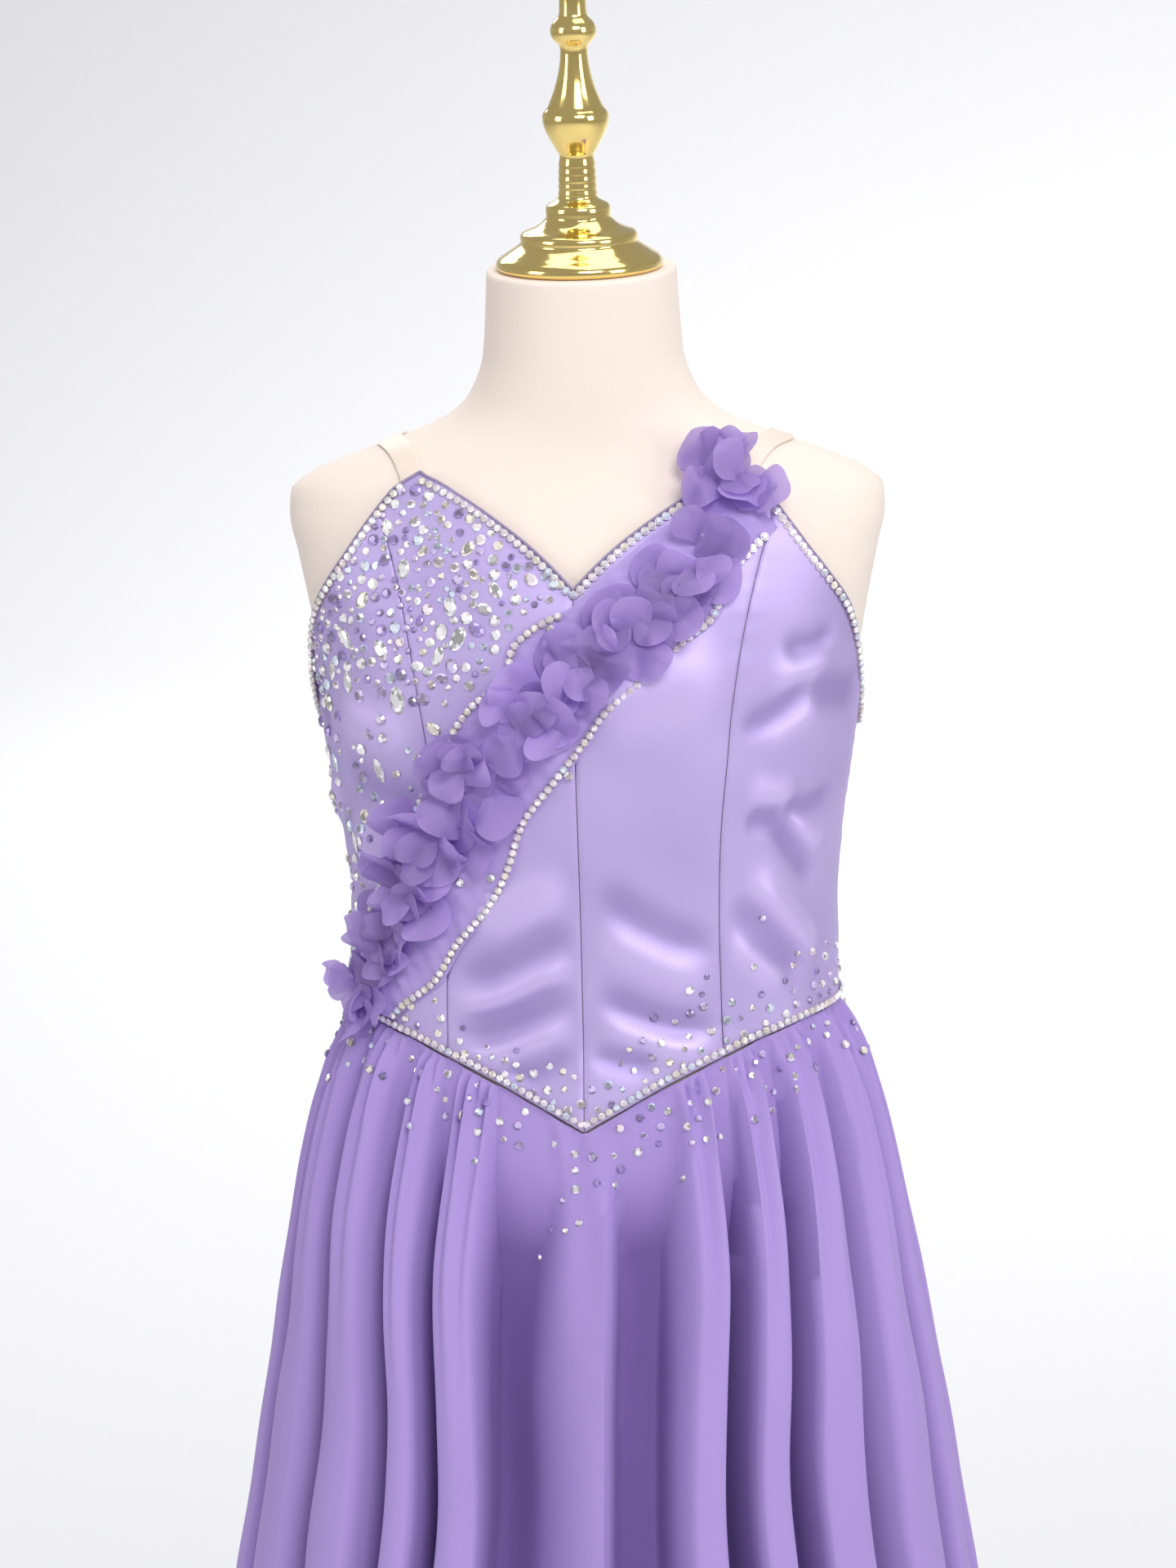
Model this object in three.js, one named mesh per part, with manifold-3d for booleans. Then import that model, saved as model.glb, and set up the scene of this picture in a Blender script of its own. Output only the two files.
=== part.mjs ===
// A lyrical ballet dress worn by a limbless, child-size dress form on a pole stand.
// Millimetres. +Z is up, +X is the wearer's left, and the dress faces -Y.
// The origin is the centre of the stand's foot, on the floor.
import * as THREE from "three";
import { mergeVertices } from "three/addons/utils/BufferGeometryUtils.js";
import Module from "manifold-3d";

const wasm = await Module();
wasm.setup();

// ---------------------------------------------------------------- driving sizes

const SEAM_GAP = 0.4; // between pieces that are sewn together or lie on each other
const EASE = 3.4; // from the dress form to the inside of the bodice
const SATIN_WALL = 1.8; // satin, interlining and boning together
const CHIFFON_WALL = 1.4;
const BAND_WALL = 1;
const PLACKET = { width: 22, wall: 1.2 };
const STRAP = { width: 13, wall: 1 };
const CHAIN = { radius: 1.8, sides: 5, inset: 2.8, clear: 0.7 }; // the crystal chain that edges the pieces
const HEM = 285;
const GATHER = { deep: 1.2, perFold: 3, start: 8, fade: 75 }; // the small gathers under the waist seam
const FOLD_DEPTH = 34; // of the skirt's folds, at the hem
const LET_OUT = 110; // the drop over which the skirt leaves the bodice's own section
const NECK_LEAN = 5; // degrees that the cut of the neck slopes down to the front
const POLE_RADIUS = 12.5;

// ---------------------------------------------------------------- tables

// Sections of the dress form, from the hips to the cut of the neck.
const TORSO = [
  { height: 772, half: 122, front: 82, back: 86 },
  { height: 800, half: 133, front: 88, back: 96 },
  { height: 850, half: 135, front: 89, back: 98 },
  { height: 890, half: 131, front: 84, back: 90 },
  { height: 930, half: 126, front: 79, back: 78 },
  { height: 980, half: 126, front: 81, back: 77 },
  { height: 1030, half: 129, front: 87, back: 81 },
  { height: 1080, half: 137, front: 94, back: 87 },
  { height: 1115, half: 143, front: 96, back: 90 },
  { height: 1150, half: 149, front: 91, back: 90 },
  { height: 1180, half: 155, front: 81, back: 86 },
  { height: 1200, half: 159, front: 71, back: 79 },
  { height: 1212, half: 158, front: 64, back: 72 },
  { height: 1221, half: 147, front: 59, back: 66 },
  { height: 1231, half: 122, front: 55, back: 59 },
  { height: 1241, half: 94, front: 53, back: 53 },
  { height: 1250, half: 74, front: 53, back: 48 },
  { height: 1262, half: 61, front: 54, back: 44 },
  { height: 1284, half: 53, front: 56, back: 40 },
  { height: 1329, half: 50, front: 61, back: 36 },
];
const FULLNESS = 2.3; // power of the sections' superellipse: 2 would be an ellipse

// Sections through the crests of the skirt's folds.
const SKIRT = [
  { height: 285, half: 260, front: 230, back: 238 },
  { height: 450, half: 233, front: 200, back: 209 },
  { height: 626, half: 202, front: 166, back: 176 },
  { height: 767, half: 178, front: 136, back: 145 },
  { height: 855, half: 160, front: 115, back: 122 },
  { height: 899, half: 148, front: 104, back: 105 },
  { height: 930, half: 133, front: 92, back: 88 },
];

// The bodice's upper edge, as turn from the centre front: 90 is the side and 180 the centre back.
const NECKLINE = [
  { turn: 0, height: 1166 },
  { turn: 7, height: 1184 },
  { turn: 17, height: 1204 },
  { turn: 25, height: 1216 },
  { turn: 33, height: 1223 },
];
const ARMHOLE = [
  { turn: 33, height: 1223 },
  { turn: 42, height: 1195 },
  { turn: 52, height: 1173 },
  { turn: 63, height: 1152 },
  { turn: 74, height: 1122 },
  { turn: 84, height: 1098 },
  { turn: 95, height: 1087 },
  { turn: 112, height: 1090 },
  { turn: 134, height: 1106 },
  { turn: 150, height: 1126 },
];
const BACK_EDGE = [
  { turn: 150, height: 1126 },
  { turn: 165, height: 1112 },
  { turn: 180, height: 1106 },
];
const TIP = NECKLINE.at(-1); // where a strap leaves the front

// The waist seam: a point at the centre front, level round the back.
const WAIST_SEAM = [
  { turn: 0, height: 879 },
  { turn: 10, height: 892 },
  { turn: 20, height: 904 },
  { turn: 31, height: 915 },
  { turn: 45, height: 926 },
  { turn: 60, height: 932 },
  { turn: 80, height: 934 },
  { turn: 180, height: 934 },
];

// The princess seams, front and back, on one side.
const FRONT_SEAM = [
  { height: 870, turn: 33.4 },
  { height: 1027, turn: 32.4 },
  { height: 1093, turn: 32.6 },
  { height: 1143, turn: 34 },
  { height: 1183, turn: 36 },
  { height: 1230, turn: 39.5 },
];
const BACK_SEAM = [
  { height: 900, turn: 151 },
  { height: 1000, turn: 152 },
  { height: 1130, turn: 143 },
];

// The flower band's two scalloped edges, from the wearer's left strap to the right side of the waist.
const BAND_UPPER = [
  { turn: 30, height: 1213 },
  { turn: 17, height: 1196 },
  { turn: 7, height: 1175 },
  { turn: 0, height: 1158 },
  { turn: -7, height: 1151 },
  { turn: -13, height: 1139 },
  { turn: -15, height: 1122 },
  { turn: -22, height: 1110 },
  { turn: -28, height: 1091 },
  { turn: -33, height: 1070 },
  { turn: -39, height: 1050 },
  { turn: -46, height: 1030 },
  { turn: -54, height: 1003 },
  { turn: -63, height: 980 },
  { turn: -72, height: 960 },
  { turn: -78, height: 942 },
];
const BAND_LOWER = [
  { turn: 38.5, height: 1194 },
  { turn: 34, height: 1182 },
  { turn: 30, height: 1170 },
  { turn: 28.5, height: 1152 },
  { turn: 22, height: 1137 },
  { turn: 15, height: 1120 },
  { turn: 8, height: 1106 },
  { turn: 3, height: 1088 },
  { turn: -4, height: 1067 },
  { turn: -11, height: 1046 },
  { turn: -15, height: 1020 },
  { turn: -20, height: 999 },
  { turn: -28, height: 978 },
  { turn: -34, height: 957 },
  { turn: -43, height: 943 },
  { turn: -48, height: 934 },
];

// Crystal chains along the bodice's upper edge, by turn, up to the topmost flower on both its sides.
const EDGE_CHAINS = [
  { name: "chain_neckline", from: -30, to: 19 },
  { name: "chain_armhole_left", from: 39, to: 148 },
  { name: "chain_armhole_right", from: -35, to: -148 },
];
// Crystal chains on the band's edges, by the share of the way across the band and along it.
const BAND_CHAINS = [
  { name: "chain_band_upper", across: 0.05, from: 0.24, to: 0.985 },
  { name: "chain_band_lower", across: 0.95, from: 0.03, to: 0.985 },
];

// Flowers on the band: where their hearts are sewn, how wide they open and how far they are turned.
const FLOWERS = [
  { turn: 29.5, height: 1216, reach: 21, spin: 18 },
  { turn: 21.6, height: 1178, reach: 20, spin: 50 },
  { turn: 11.8, height: 1154, reach: 17.5, spin: 20 },
  { turn: 1.4, height: 1132, reach: 17.5, spin: 35 },
  { turn: -8.2, height: 1099, reach: 21, spin: 0 },
  { turn: -22.1, height: 1072, reach: 20, spin: 60 },
  { turn: -32.4, height: 1037, reach: 18, spin: 25 },
  { turn: -40.6, height: 1006, reach: 17, spin: 45 },
  { turn: -50, height: 976, reach: 17, spin: 5 },
  { turn: -60.9, height: 944, reach: 19, spin: 30 },
];
const FLOWER = { petals: 5, heart: 5, above: 0.6 };
const PETAL = [
  { along: 0.1, half: 3, rise: 4, cup: 0 },
  { along: 0.6, half: 12, rise: 7.5, cup: 4 },
  { along: 1, half: 5.5, rise: 11, cup: 2 },
];

// The valleys between the skirt's folds, with the share of the full depth that each has.
const FOLDS = [
  { turn: -180, deep: 0.8 },
  { turn: -166, deep: 0.7 },
  { turn: -149, deep: 0.9 },
  { turn: -133, deep: 0.75 },
  { turn: -119, deep: 0.9 },
  { turn: -104, deep: 0.7 },
  { turn: -90, deep: 0.8 },
  { turn: -66, deep: 0.85 },
  { turn: -48, deep: 0.9 },
  { turn: -33, deep: 0.7 },
  { turn: -23, deep: 1 },
  { turn: -8, deep: 0.6 },
  { turn: 17, deep: 0.6 },
  { turn: 30, deep: 1 },
  { turn: 44, deep: 0.9 },
  { turn: 60, deep: 0.85 },
  { turn: 76, deep: 0.7 },
  { turn: 90, deep: 0.75 },
  { turn: 107, deep: 0.9 },
  { turn: 121, deep: 0.7 },
  { turn: 137, deep: 0.9 },
  { turn: 150, deep: 0.75 },
  { turn: 166, deep: 0.85 },
  { turn: 180, deep: 0.8 },
];
// How the folds deepen with the drop from the waist seam.
const DEEPENING = [
  { drop: 0, share: 0 },
  { drop: 15, share: 0.08 },
  { drop: 60, share: 0.3 },
  { drop: 150, share: 0.56 },
  { drop: 300, share: 0.8 },
  { drop: 650, share: 1 },
];
const SKIRT_ROWS = [0, 0.016, 0.05, 0.11, 0.2, 0.34, 0.52, 0.75, 1]; // shares of the drop

// A strap's way over the shoulder, front to back: the angle round the side-to-side line through its centre, and
// how far above the form it lies.
const STRAP_WAY = [
  { angle: 47, across: 82, above: 1.1 },
  { angle: 58, across: 88, above: 1.6 },
  { angle: 90, across: 104, above: 2 },
  { angle: 130, across: 99, above: 2 },
  { angle: 185, across: 79, above: 1.6 },
  { angle: 202, across: 73, above: 1.1 },
];
const STRAP_CENTRE = 1150; // height of that line

// The neck's cap and finial, as radius and height above the cut of the neck.
const FINIAL = [
  [42.5, 0.4], [44, 2], [44, 5], [41.5, 7.5], [37, 9.5], [33, 12], [30, 14.5], [30.5, 18], [28.5, 20.5],
  [22, 22.5], [18, 26], [16, 29], [16, 32.5], [13.5, 36], [10, 38.5], [9.5, 58], [9, 61], [13, 67],
  [17, 74], [17.8, 81], [14.5, 85], [12, 91], [8.8, 101], [7, 112], [7.5, 118], [12, 122], [12, 127],
  [7.5, 131.5], [7, 148], [10, 152], [10, 158], [5, 164],
];
// The stand's foot, as radius and height: a flat underside, a thin plate and the pole's socket.
const FOOT = [
  [168, 0], [170, 3], [168, 7], [150, 11], [60, 15], [26, 19], [21, 24], [20, 44], [16, 47],
];

// ---------------------------------------------------------------- reading the tables

const rad = THREE.MathUtils.degToRad;
const lerp = THREE.MathUtils.lerp;
const smooth = (t) => THREE.MathUtils.smoothstep(t, 0, 1);
const even = (count) => Array.from({ length: count }, (_, k) => k / (count - 1));
const span = (from, to, count) => even(count).map((share) => lerp(from, to, share));

// A column of a table at some place along its key, on a smooth curve that never overshoots its rows.
function read(table, name, at, key = "height") {
  const last = table.length - 1;
  if (at <= table[0][key]) return table[0][name];
  if (at >= table[last][key]) return table[last][name];
  const secant = (k) => (table[k + 1][name] - table[k][name]) / (table[k + 1][key] - table[k][key]);
  const slope = (k) => {
    if (k === 0) return secant(0);
    if (k === last) return secant(last - 1);
    const before = secant(k - 1);
    const after = secant(k);
    return before * after <= 0 ? 0 : (2 * before * after) / (before + after);
  };
  const i = table.findIndex((row) => row[key] > at) - 1;
  const span = table[i + 1][key] - table[i][key];
  const t = (at - table[i][key]) / span;
  return (
    table[i][name] * (1 + 2 * t) * (1 - t) ** 2 +
    slope(i) * span * t * (1 - t) ** 2 +
    table[i + 1][name] * t * t * (3 - 2 * t) +
    slope(i + 1) * span * t * t * (t - 1)
  );
}

// The length of a path of points.
const lengthOf = (points) => points.slice(1).reduce((sum, p, k) => sum + p.distanceTo(points[k]), 0);

// ---------------------------------------------------------------- surfaces

// A point of a section. Turn is in degrees: 0 is the centre front, 90 the wearer's left side.
function sectionPoint(table, turn, height) {
  const s = Math.sin(rad(turn));
  const c = Math.cos(rad(turn));
  const out = (Math.abs(s) ** FULLNESS + Math.abs(c) ** FULLNESS) ** (-1 / FULLNESS);
  const depth = read(table, c >= 0 ? "front" : "back", height);
  return new THREE.Vector3(read(table, "half", height) * s * out, -depth * c * out, height);
}

// The way out of a surface of two parameters, from short steps along each.
function wayOut(surface, a, b) {
  const step = 0.5;
  const across = surface(a + step, b).sub(surface(a - step, b));
  const up = surface(a, b + step).sub(surface(a, b - step));
  return across.cross(up).normalize();
}

const moved = (surface, a, b, out) => surface(a, b).addScaledVector(wayOut(surface, a, b), out);

// The dress form. Near its top the sections lean down to the front.
function torso(turn, height) {
  const p = sectionPoint(TORSO, turn, height);
  p.z += Math.tan(rad(NECK_LEAN)) * p.y * smooth((height - 1250) / 79);
  return p;
}

// A point of the bodice, out millimetres from its inside.
const bodice = (turn, height, out) => moved(torso, turn, height, EASE + out);

function upperEdge(turn) {
  const away = Math.abs(turn);
  const table = away < TIP.turn ? NECKLINE : away < BACK_EDGE[0].turn ? ARMHOLE : BACK_EDGE;
  return read(table, "height", away, "turn");
}

const waistSeam = (turn) => read(WAIST_SEAM, "height", Math.abs(turn), "turn");

// Where in its fold a turn lies: 0 and 1 are the valleys, and deep is the share of the depth there.
function foldAt(turn) {
  const k = Math.min(FOLDS.length - 2, Math.max(0, FOLDS.findIndex((row) => row.turn > turn) - 1));
  const share = THREE.MathUtils.clamp((turn - FOLDS[k].turn) / (FOLDS[k + 1].turn - FOLDS[k].turn), 0, 1);
  return { share, deep: lerp(FOLDS[k].deep, FOLDS[k + 1].deep, share) };
}

// The turn that half a seam gap takes on a section.
const seamTurn = (table, height) => THREE.MathUtils.radToDeg(SEAM_GAP / 2 / read(table, "half", height));

const skirtTop = (turn) => waistSeam(turn) - 2 * SEAM_GAP;

// The outside of the skirt, which leaves the bodice's surface at the waist seam.
function skirt(turn, height) {
  const round = ((((turn + 180) % 360) + 360) % 360) - 180;
  const top = skirtTop(round);
  const drop = Math.max(0, top - height);
  const sewn = bodice(round, top, SATIN_WALL).sub(sectionPoint(SKIRT, round, top));
  const point = sectionPoint(SKIRT, round, height).addScaledVector(sewn, 1 - smooth(drop / LET_OUT));
  const { share, deep } = foldAt(round);
  const valley = 1 - Math.sin(Math.PI * share) ** 0.75;
  const gathered = GATHER.deep * smooth(drop / GATHER.start) * (1 - smooth(drop / GATHER.fade));
  const folded = FOLD_DEPTH * deep * read(DEEPENING, "share", drop, "drop");
  const inward = folded * valley + gathered * Math.cos(2 * Math.PI * GATHER.perFold * share);
  point.addScaledVector(new THREE.Vector3(point.x, point.y, 0).normalize(), -inward);
  return point.setZ(height);
}

// A point of the shoulder on a ray from the line through its centre, for the straps.
function shoulder(across, angle) {
  const ray = new THREE.Vector3(0, -Math.cos(rad(angle)), Math.sin(rad(angle)));
  const start = new THREE.Vector3(across, 0, STRAP_CENTRE);
  const inside = (p) => {
    const depth = read(TORSO, p.y < 0 ? "front" : "back", p.z);
    const half = read(TORSO, "half", p.z);
    return Math.abs(p.x / half) ** FULLNESS + Math.abs(p.y / depth) ** FULLNESS < 1;
  };
  let near = 0;
  let far = 160;
  for (let k = 0; k < 30; k++) {
    const middle = (near + far) / 2;
    if (inside(start.clone().addScaledVector(ray, middle))) near = middle;
    else far = middle;
  }
  return start.addScaledVector(ray, near);
}

// ---------------------------------------------------------------- solids

// A closed wall over a grid. corner(i, j, side) gives its points: side 0 is the outside and 1 the inside.
function wall(columns, rows, corner) {
  const positions = [];
  for (const side of [0, 1])
    for (let j = 0; j < rows; j++)
      for (let i = 0; i < columns; i++) positions.push(...corner(i, j, side).toArray());
  const at = (i, j, side) => (side * rows + j) * columns + i;
  const index = [];
  const quad = (a, b, c, d) => index.push(a, b, c, a, c, d);
  for (let j = 0; j < rows - 1; j++)
    for (let i = 0; i < columns - 1; i++) {
      quad(at(i, j, 0), at(i + 1, j, 0), at(i + 1, j + 1, 0), at(i, j + 1, 0));
      quad(at(i, j, 1), at(i, j + 1, 1), at(i + 1, j + 1, 1), at(i + 1, j, 1));
    }
  for (let i = 0; i < columns - 1; i++) {
    quad(at(i, 0, 1), at(i + 1, 0, 1), at(i + 1, 0, 0), at(i, 0, 0));
    quad(at(i, rows - 1, 0), at(i + 1, rows - 1, 0), at(i + 1, rows - 1, 1), at(i, rows - 1, 1));
  }
  for (let j = 0; j < rows - 1; j++) {
    quad(at(0, j, 0), at(0, j + 1, 0), at(0, j + 1, 1), at(0, j, 1));
    quad(at(columns - 1, j, 1), at(columns - 1, j + 1, 1), at(columns - 1, j + 1, 0), at(columns - 1, j, 0));
  }
  return shape(positions, index);
}

// A body through closed rings, capped at both ends.
function lofted(rings) {
  const count = rings[0].length;
  const positions = rings.flat().flatMap((p) => p.toArray());
  const index = [];
  for (let j = 0; j < rings.length - 1; j++)
    for (let i = 0; i < count; i++) {
      const next = (i + 1) % count;
      const a = j * count + i;
      const b = j * count + next;
      index.push(a, b, b + count, a, b + count, a + count);
    }
  for (const [ring, upward] of [[0, false], [rings.length - 1, true]]) {
    const middle = rings[ring].reduce((sum, p) => sum.add(p), new THREE.Vector3()).divideScalar(count);
    const hub = positions.push(...middle.toArray()) / 3 - 1;
    for (let i = 0; i < count; i++) {
      const a = ring * count + i;
      const b = ring * count + ((i + 1) % count);
      index.push(...(upward ? [a, b, hub] : [b, a, hub]));
    }
  }
  return shape(positions, index);
}

function shape(positions, index) {
  return new THREE.BufferGeometry()
    .setAttribute("position", new THREE.Float32BufferAttribute(positions, 3))
    .setIndex(index);
}

// A round cord along a path of points.
function cordAlong(points, radius, sides, step) {
  const section = new THREE.Shape(
    Array.from({ length: sides }, (_, k) => {
      const a = (2 * Math.PI * k) / sides;
      return new THREE.Vector2(radius * Math.cos(a), radius * Math.sin(a));
    }),
  );
  const extrudePath = new THREE.CatmullRomCurve3(points, false, "centripetal");
  const steps = Math.round(lengthOf(points) / step);
  return new THREE.ExtrudeGeometry(section, { steps, extrudePath });
}

// One solid from several closed shapes that run into each other.
function fused(shapes) {
  const solids = shapes.map((geometry) => {
    const bare = geometry.clone();
    bare.deleteAttribute("normal");
    bare.deleteAttribute("uv");
    const merged = mergeVertices(bare, 1e-4);
    return new wasm.Manifold(
      new wasm.Mesh({
        numProp: 3,
        vertProperties: new Float32Array(merged.attributes.position.array),
        triVerts: new Uint32Array(merged.index.array),
      }),
    );
  });
  const { vertProperties, triVerts } = solids.reduce((sum, solid) => sum.add(solid)).getMesh();
  return shape([...vertProperties], [...triVerts]);
}

// A closed turned body: the profile's ends are joined to the axis.
function turned(profile, segments) {
  const points = profile.map(([radius, height]) => new THREE.Vector2(radius, height));
  const closed = [
    new THREE.Vector2(0, points[0].y),
    ...points,
    new THREE.Vector2(0, points.at(-1).y),
  ];
  return new THREE.LatheGeometry(closed, segments).rotateX(Math.PI / 2);
}

// ---------------------------------------------------------------- materials

function finish(color, roughness, metalness = 0) {
  return new THREE.MeshStandardMaterial({ color, roughness, metalness });
}
const SATIN = finish(0xb09cdc, 0.35);
const CHIFFON = finish(0x9a7cc8, 0.8);
const PETAL_CHIFFON = finish(0xa586cf, 0.8);
const CRYSTAL = finish(0xe8e2ea, 0.15, 0.3);
const ELASTIC = finish(0xf0dccb, 0.5);
const LINEN = finish(0xf4e6d8, 0.9);
const GOLD = finish(0xd8a83a, 0.2, 1);

const group = new THREE.Group();

function piece(name, geometry, material, parent = group) {
  const mesh = new THREE.Mesh(geometry, material);
  mesh.name = name;
  parent.add(mesh);
  return mesh;
}

// ---------------------------------------------------------------- dress form and stand

function dressForm() {
  const around = 32;
  const rings = TORSO.map(({ height }) =>
    Array.from({ length: around }, (_, k) => torso((360 * k) / around, height)),
  );
  piece("dress_form", lofted(rings), LINEN);
}

function stand() {
  const segments = 20;
  const neck = TORSO.at(-1);
  const cap = new THREE.Group();
  const middle = (neck.back - neck.front) / 2;
  cap.position.set(0, middle, neck.height + Math.tan(rad(NECK_LEAN)) * middle);
  cap.rotation.x = rad(NECK_LEAN);
  group.add(cap);
  piece("neck_finial", turned(FINIAL, segments), GOLD, cap);
  piece("foot", turned(FOOT, 2 * segments), GOLD);
  const socketTop = FOOT.at(-1)[1];
  const long = TORSO[0].height - socketTop - 2 * SEAM_GAP;
  const pole = new THREE.CylinderGeometry(POLE_RADIUS, POLE_RADIUS, long, segments).rotateX(Math.PI / 2);
  piece("pole", pole, GOLD).position.z = socketTop + SEAM_GAP + long / 2;
}

// ---------------------------------------------------------------- bodice

const FRONT_ROWS = [0, 0.12, 0.25, 0.38, 0.5, 0.61, 0.71, 0.8, 0.88, 0.95, 1]; // closer over the shoulder
const BACK_ROWS = [0, 0.2, 0.4, 0.6, 0.8, 1];

// A panel between two seams, from the waist seam to the upper edge. Each seam gives a turn at a height.
function panel(name, fromSeam, toSeam, shares, rows) {
  const turnAt = (share, height) => {
    const half = seamTurn(TORSO, height);
    return lerp(fromSeam(height) + half, toSeam(height) - half, share);
  };
  const meet = (edge, share) => {
    let height = edge(0);
    for (let k = 0; k < 20; k++) height = edge(turnAt(share, height));
    return height;
  };
  const columns = shares.map((share) => ({ share, low: meet(waistSeam, share), high: meet(upperEdge, share) }));
  const corner = (i, j, side) => {
    const { share, low, high } = columns[i];
    const height = lerp(low, high, rows[j]);
    return bodice(turnAt(share, height), height, side ? 0 : SATIN_WALL);
  };
  piece(name, wall(columns.length, rows.length, corner), SATIN);
}

function bodicePanels() {
  const front = (height) => read(FRONT_SEAM, "turn", height);
  const back = (height) => read(BACK_SEAM, "turn", height);
  const tip = TIP.turn / front(TIP.height); // the strap's place across a front panel
  const frontShares = [0, 0.22, 0.45, 0.68, tip, 1];
  const mirrored = (shares) => shares.map((share) => 1 - share).reverse();
  panel("front_left", () => 0, front, frontShares, FRONT_ROWS);
  panel("front_right", (h) => -front(h), () => 0, mirrored(frontShares), FRONT_ROWS);
  panel("side_front_left", front, () => 90, even(7), FRONT_ROWS);
  panel("side_front_right", () => -90, (h) => -front(h), even(7), FRONT_ROWS);
  panel("side_back_left", () => 90, back, even(6), BACK_ROWS);
  panel("side_back_right", (h) => -back(h), () => -90, even(6), BACK_ROWS);
  panel("back_left", back, () => 180, even(4), BACK_ROWS);
  panel("back_right", () => -180, (h) => -back(h), even(4), BACK_ROWS);
}

// The lapped strip that covers the hooks and eyes down the centre back.
function placket() {
  const rows = 7;
  const low = waistSeam(180) + 2 * CHAIN.inset;
  const high = upperEdge(180);
  const corner = (i, j, side) => {
    const height = lerp(low, high, j / (rows - 1));
    const turn = 180 + (i - 1) * THREE.MathUtils.radToDeg(PLACKET.width / 2 / read(TORSO, "half", height));
    return bodice(turn, height, SATIN_WALL + SEAM_GAP + (side ? 0 : PLACKET.wall));
  };
  piece("back_placket", wall(3, rows, corner), SATIN);
}

function straps() {
  const rows = 20;
  for (const [name, side] of [["strap_left", 1], ["strap_right", -1]]) {
    const corner = (i, j, inner) => {
      const angle = lerp(STRAP_WAY[0].angle, STRAP_WAY.at(-1).angle, j / (rows - 1));
      const across = side * read(STRAP_WAY, "across", angle, "angle") + ((i - 1) * STRAP.width) / 2;
      const above = read(STRAP_WAY, "above", angle, "angle");
      return moved(shoulder, across, angle, above + (inner ? 0 : STRAP.wall));
    };
    piece(name, wall(3, rows, corner), ELASTIC);
  }
}

// ---------------------------------------------------------------- flower band

// An edge of the band as a smooth path of turns and heights.
function edgeCurve(table) {
  const points = table.map(({ turn, height }) => new THREE.Vector3(turn, height, 0));
  return new THREE.CatmullRomCurve3(points, false, "centripetal");
}
const bandUpper = edgeCurve(BAND_UPPER);
const bandLower = edgeCurve(BAND_LOWER);

// The turn and height at a share of the way along the band and across it, from its upper edge.
function onBand(along, across) {
  const place = bandUpper.getPoint(along).lerp(bandLower.getPoint(along), across);
  return { turn: place.x, height: place.y };
}
const BAND_BASE = SATIN_WALL + 2 * SEAM_GAP;

function band() {
  const columns = 6;
  const rows = 32;
  const corner = (i, j, side) => {
    const { turn, height } = onBand(j / (rows - 1), 1 - i / (columns - 1));
    return bodice(turn, height, BAND_BASE + (side ? 0 : BAND_WALL));
  };
  piece("band", wall(columns, rows, corner), CHIFFON);
}

// A flower: cupped petals round a small heart, sewn down at the heart.
function flower(name, { turn, height, reach, spin }) {
  const surface = (a, b) => bodice(a, b, BAND_BASE + BAND_WALL + FLOWER.above);
  const foot = surface(turn, height);
  const out = wayOut(surface, turn, height);
  const first = new THREE.Vector3(0, 0, 1).cross(out).normalize();
  const second = out.clone().cross(first);
  const heart = new THREE.IcosahedronGeometry(FLOWER.heart, 0);
  heart.translate(...foot.clone().addScaledVector(out, FLOWER.heart).toArray());
  const petals = Array.from({ length: FLOWER.petals }, (_, k) => {
    const angle = rad(spin + (360 * k) / FLOWER.petals);
    const away = first.clone().multiplyScalar(Math.cos(angle)).addScaledVector(second, Math.sin(angle));
    const beside = away.clone().cross(out);
    const lift = 1 + 0.35 * (k % 2);
    return wall(3, PETAL.length, (i, j, side) => {
      const { along: share, half, rise, cup } = PETAL[j];
      return foot
        .clone()
        .addScaledVector(away, reach * share)
        .addScaledVector(beside, (i - 1) * half)
        .addScaledVector(out, lift * rise + cup * Math.abs(i - 1) - side);
    });
  });
  piece(name, fused([heart, ...petals]), PETAL_CHIFFON);
}

// ---------------------------------------------------------------- crystal chains

// A place inside an edge, as far from it as the inset and square to it. The edge gives a height at a turn.
function insideOf(edge, turn, inset) {
  const step = 0.5;
  const radius = read(TORSO, "half", edge(turn));
  const along = rad(2 * step) * radius;
  const rise = edge(turn + step) - edge(turn - step);
  const away = inset / Math.hypot(along, rise);
  return { turn: turn + THREE.MathUtils.radToDeg((away * rise) / radius), height: edge(turn) - away * along };
}

// A chain through turns and heights, lying on a layer that is out millimetres from the bodice's inside.
function chain(name, places, out, step) {
  const centre = out + CHAIN.clear + CHAIN.radius;
  const points = places.map(({ turn, height }) => bodice(turn, height, centre));
  piece(name, cordAlong(points, CHAIN.radius, CHAIN.sides, step), CRYSTAL);
}

function chains() {
  const waist = span(-179.3, 179.3, 73).map((turn) => insideOf(waistSeam, turn, -CHAIN.inset));
  chain("chain_waist", waist, SATIN_WALL, 13);
  for (const { name, from, to } of EDGE_CHAINS) {
    const places = span(from, to, 18).map((turn) => insideOf(upperEdge, turn, CHAIN.inset));
    chain(name, places, SATIN_WALL, 11.5);
  }
  for (const { name, across, from, to } of BAND_CHAINS) {
    const places = span(from, to, 32).map((along) => onBand(along, across));
    chain(name, places, BAND_BASE + BAND_WALL, 9.5);
  }
}

// ---------------------------------------------------------------- skirt

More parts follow.
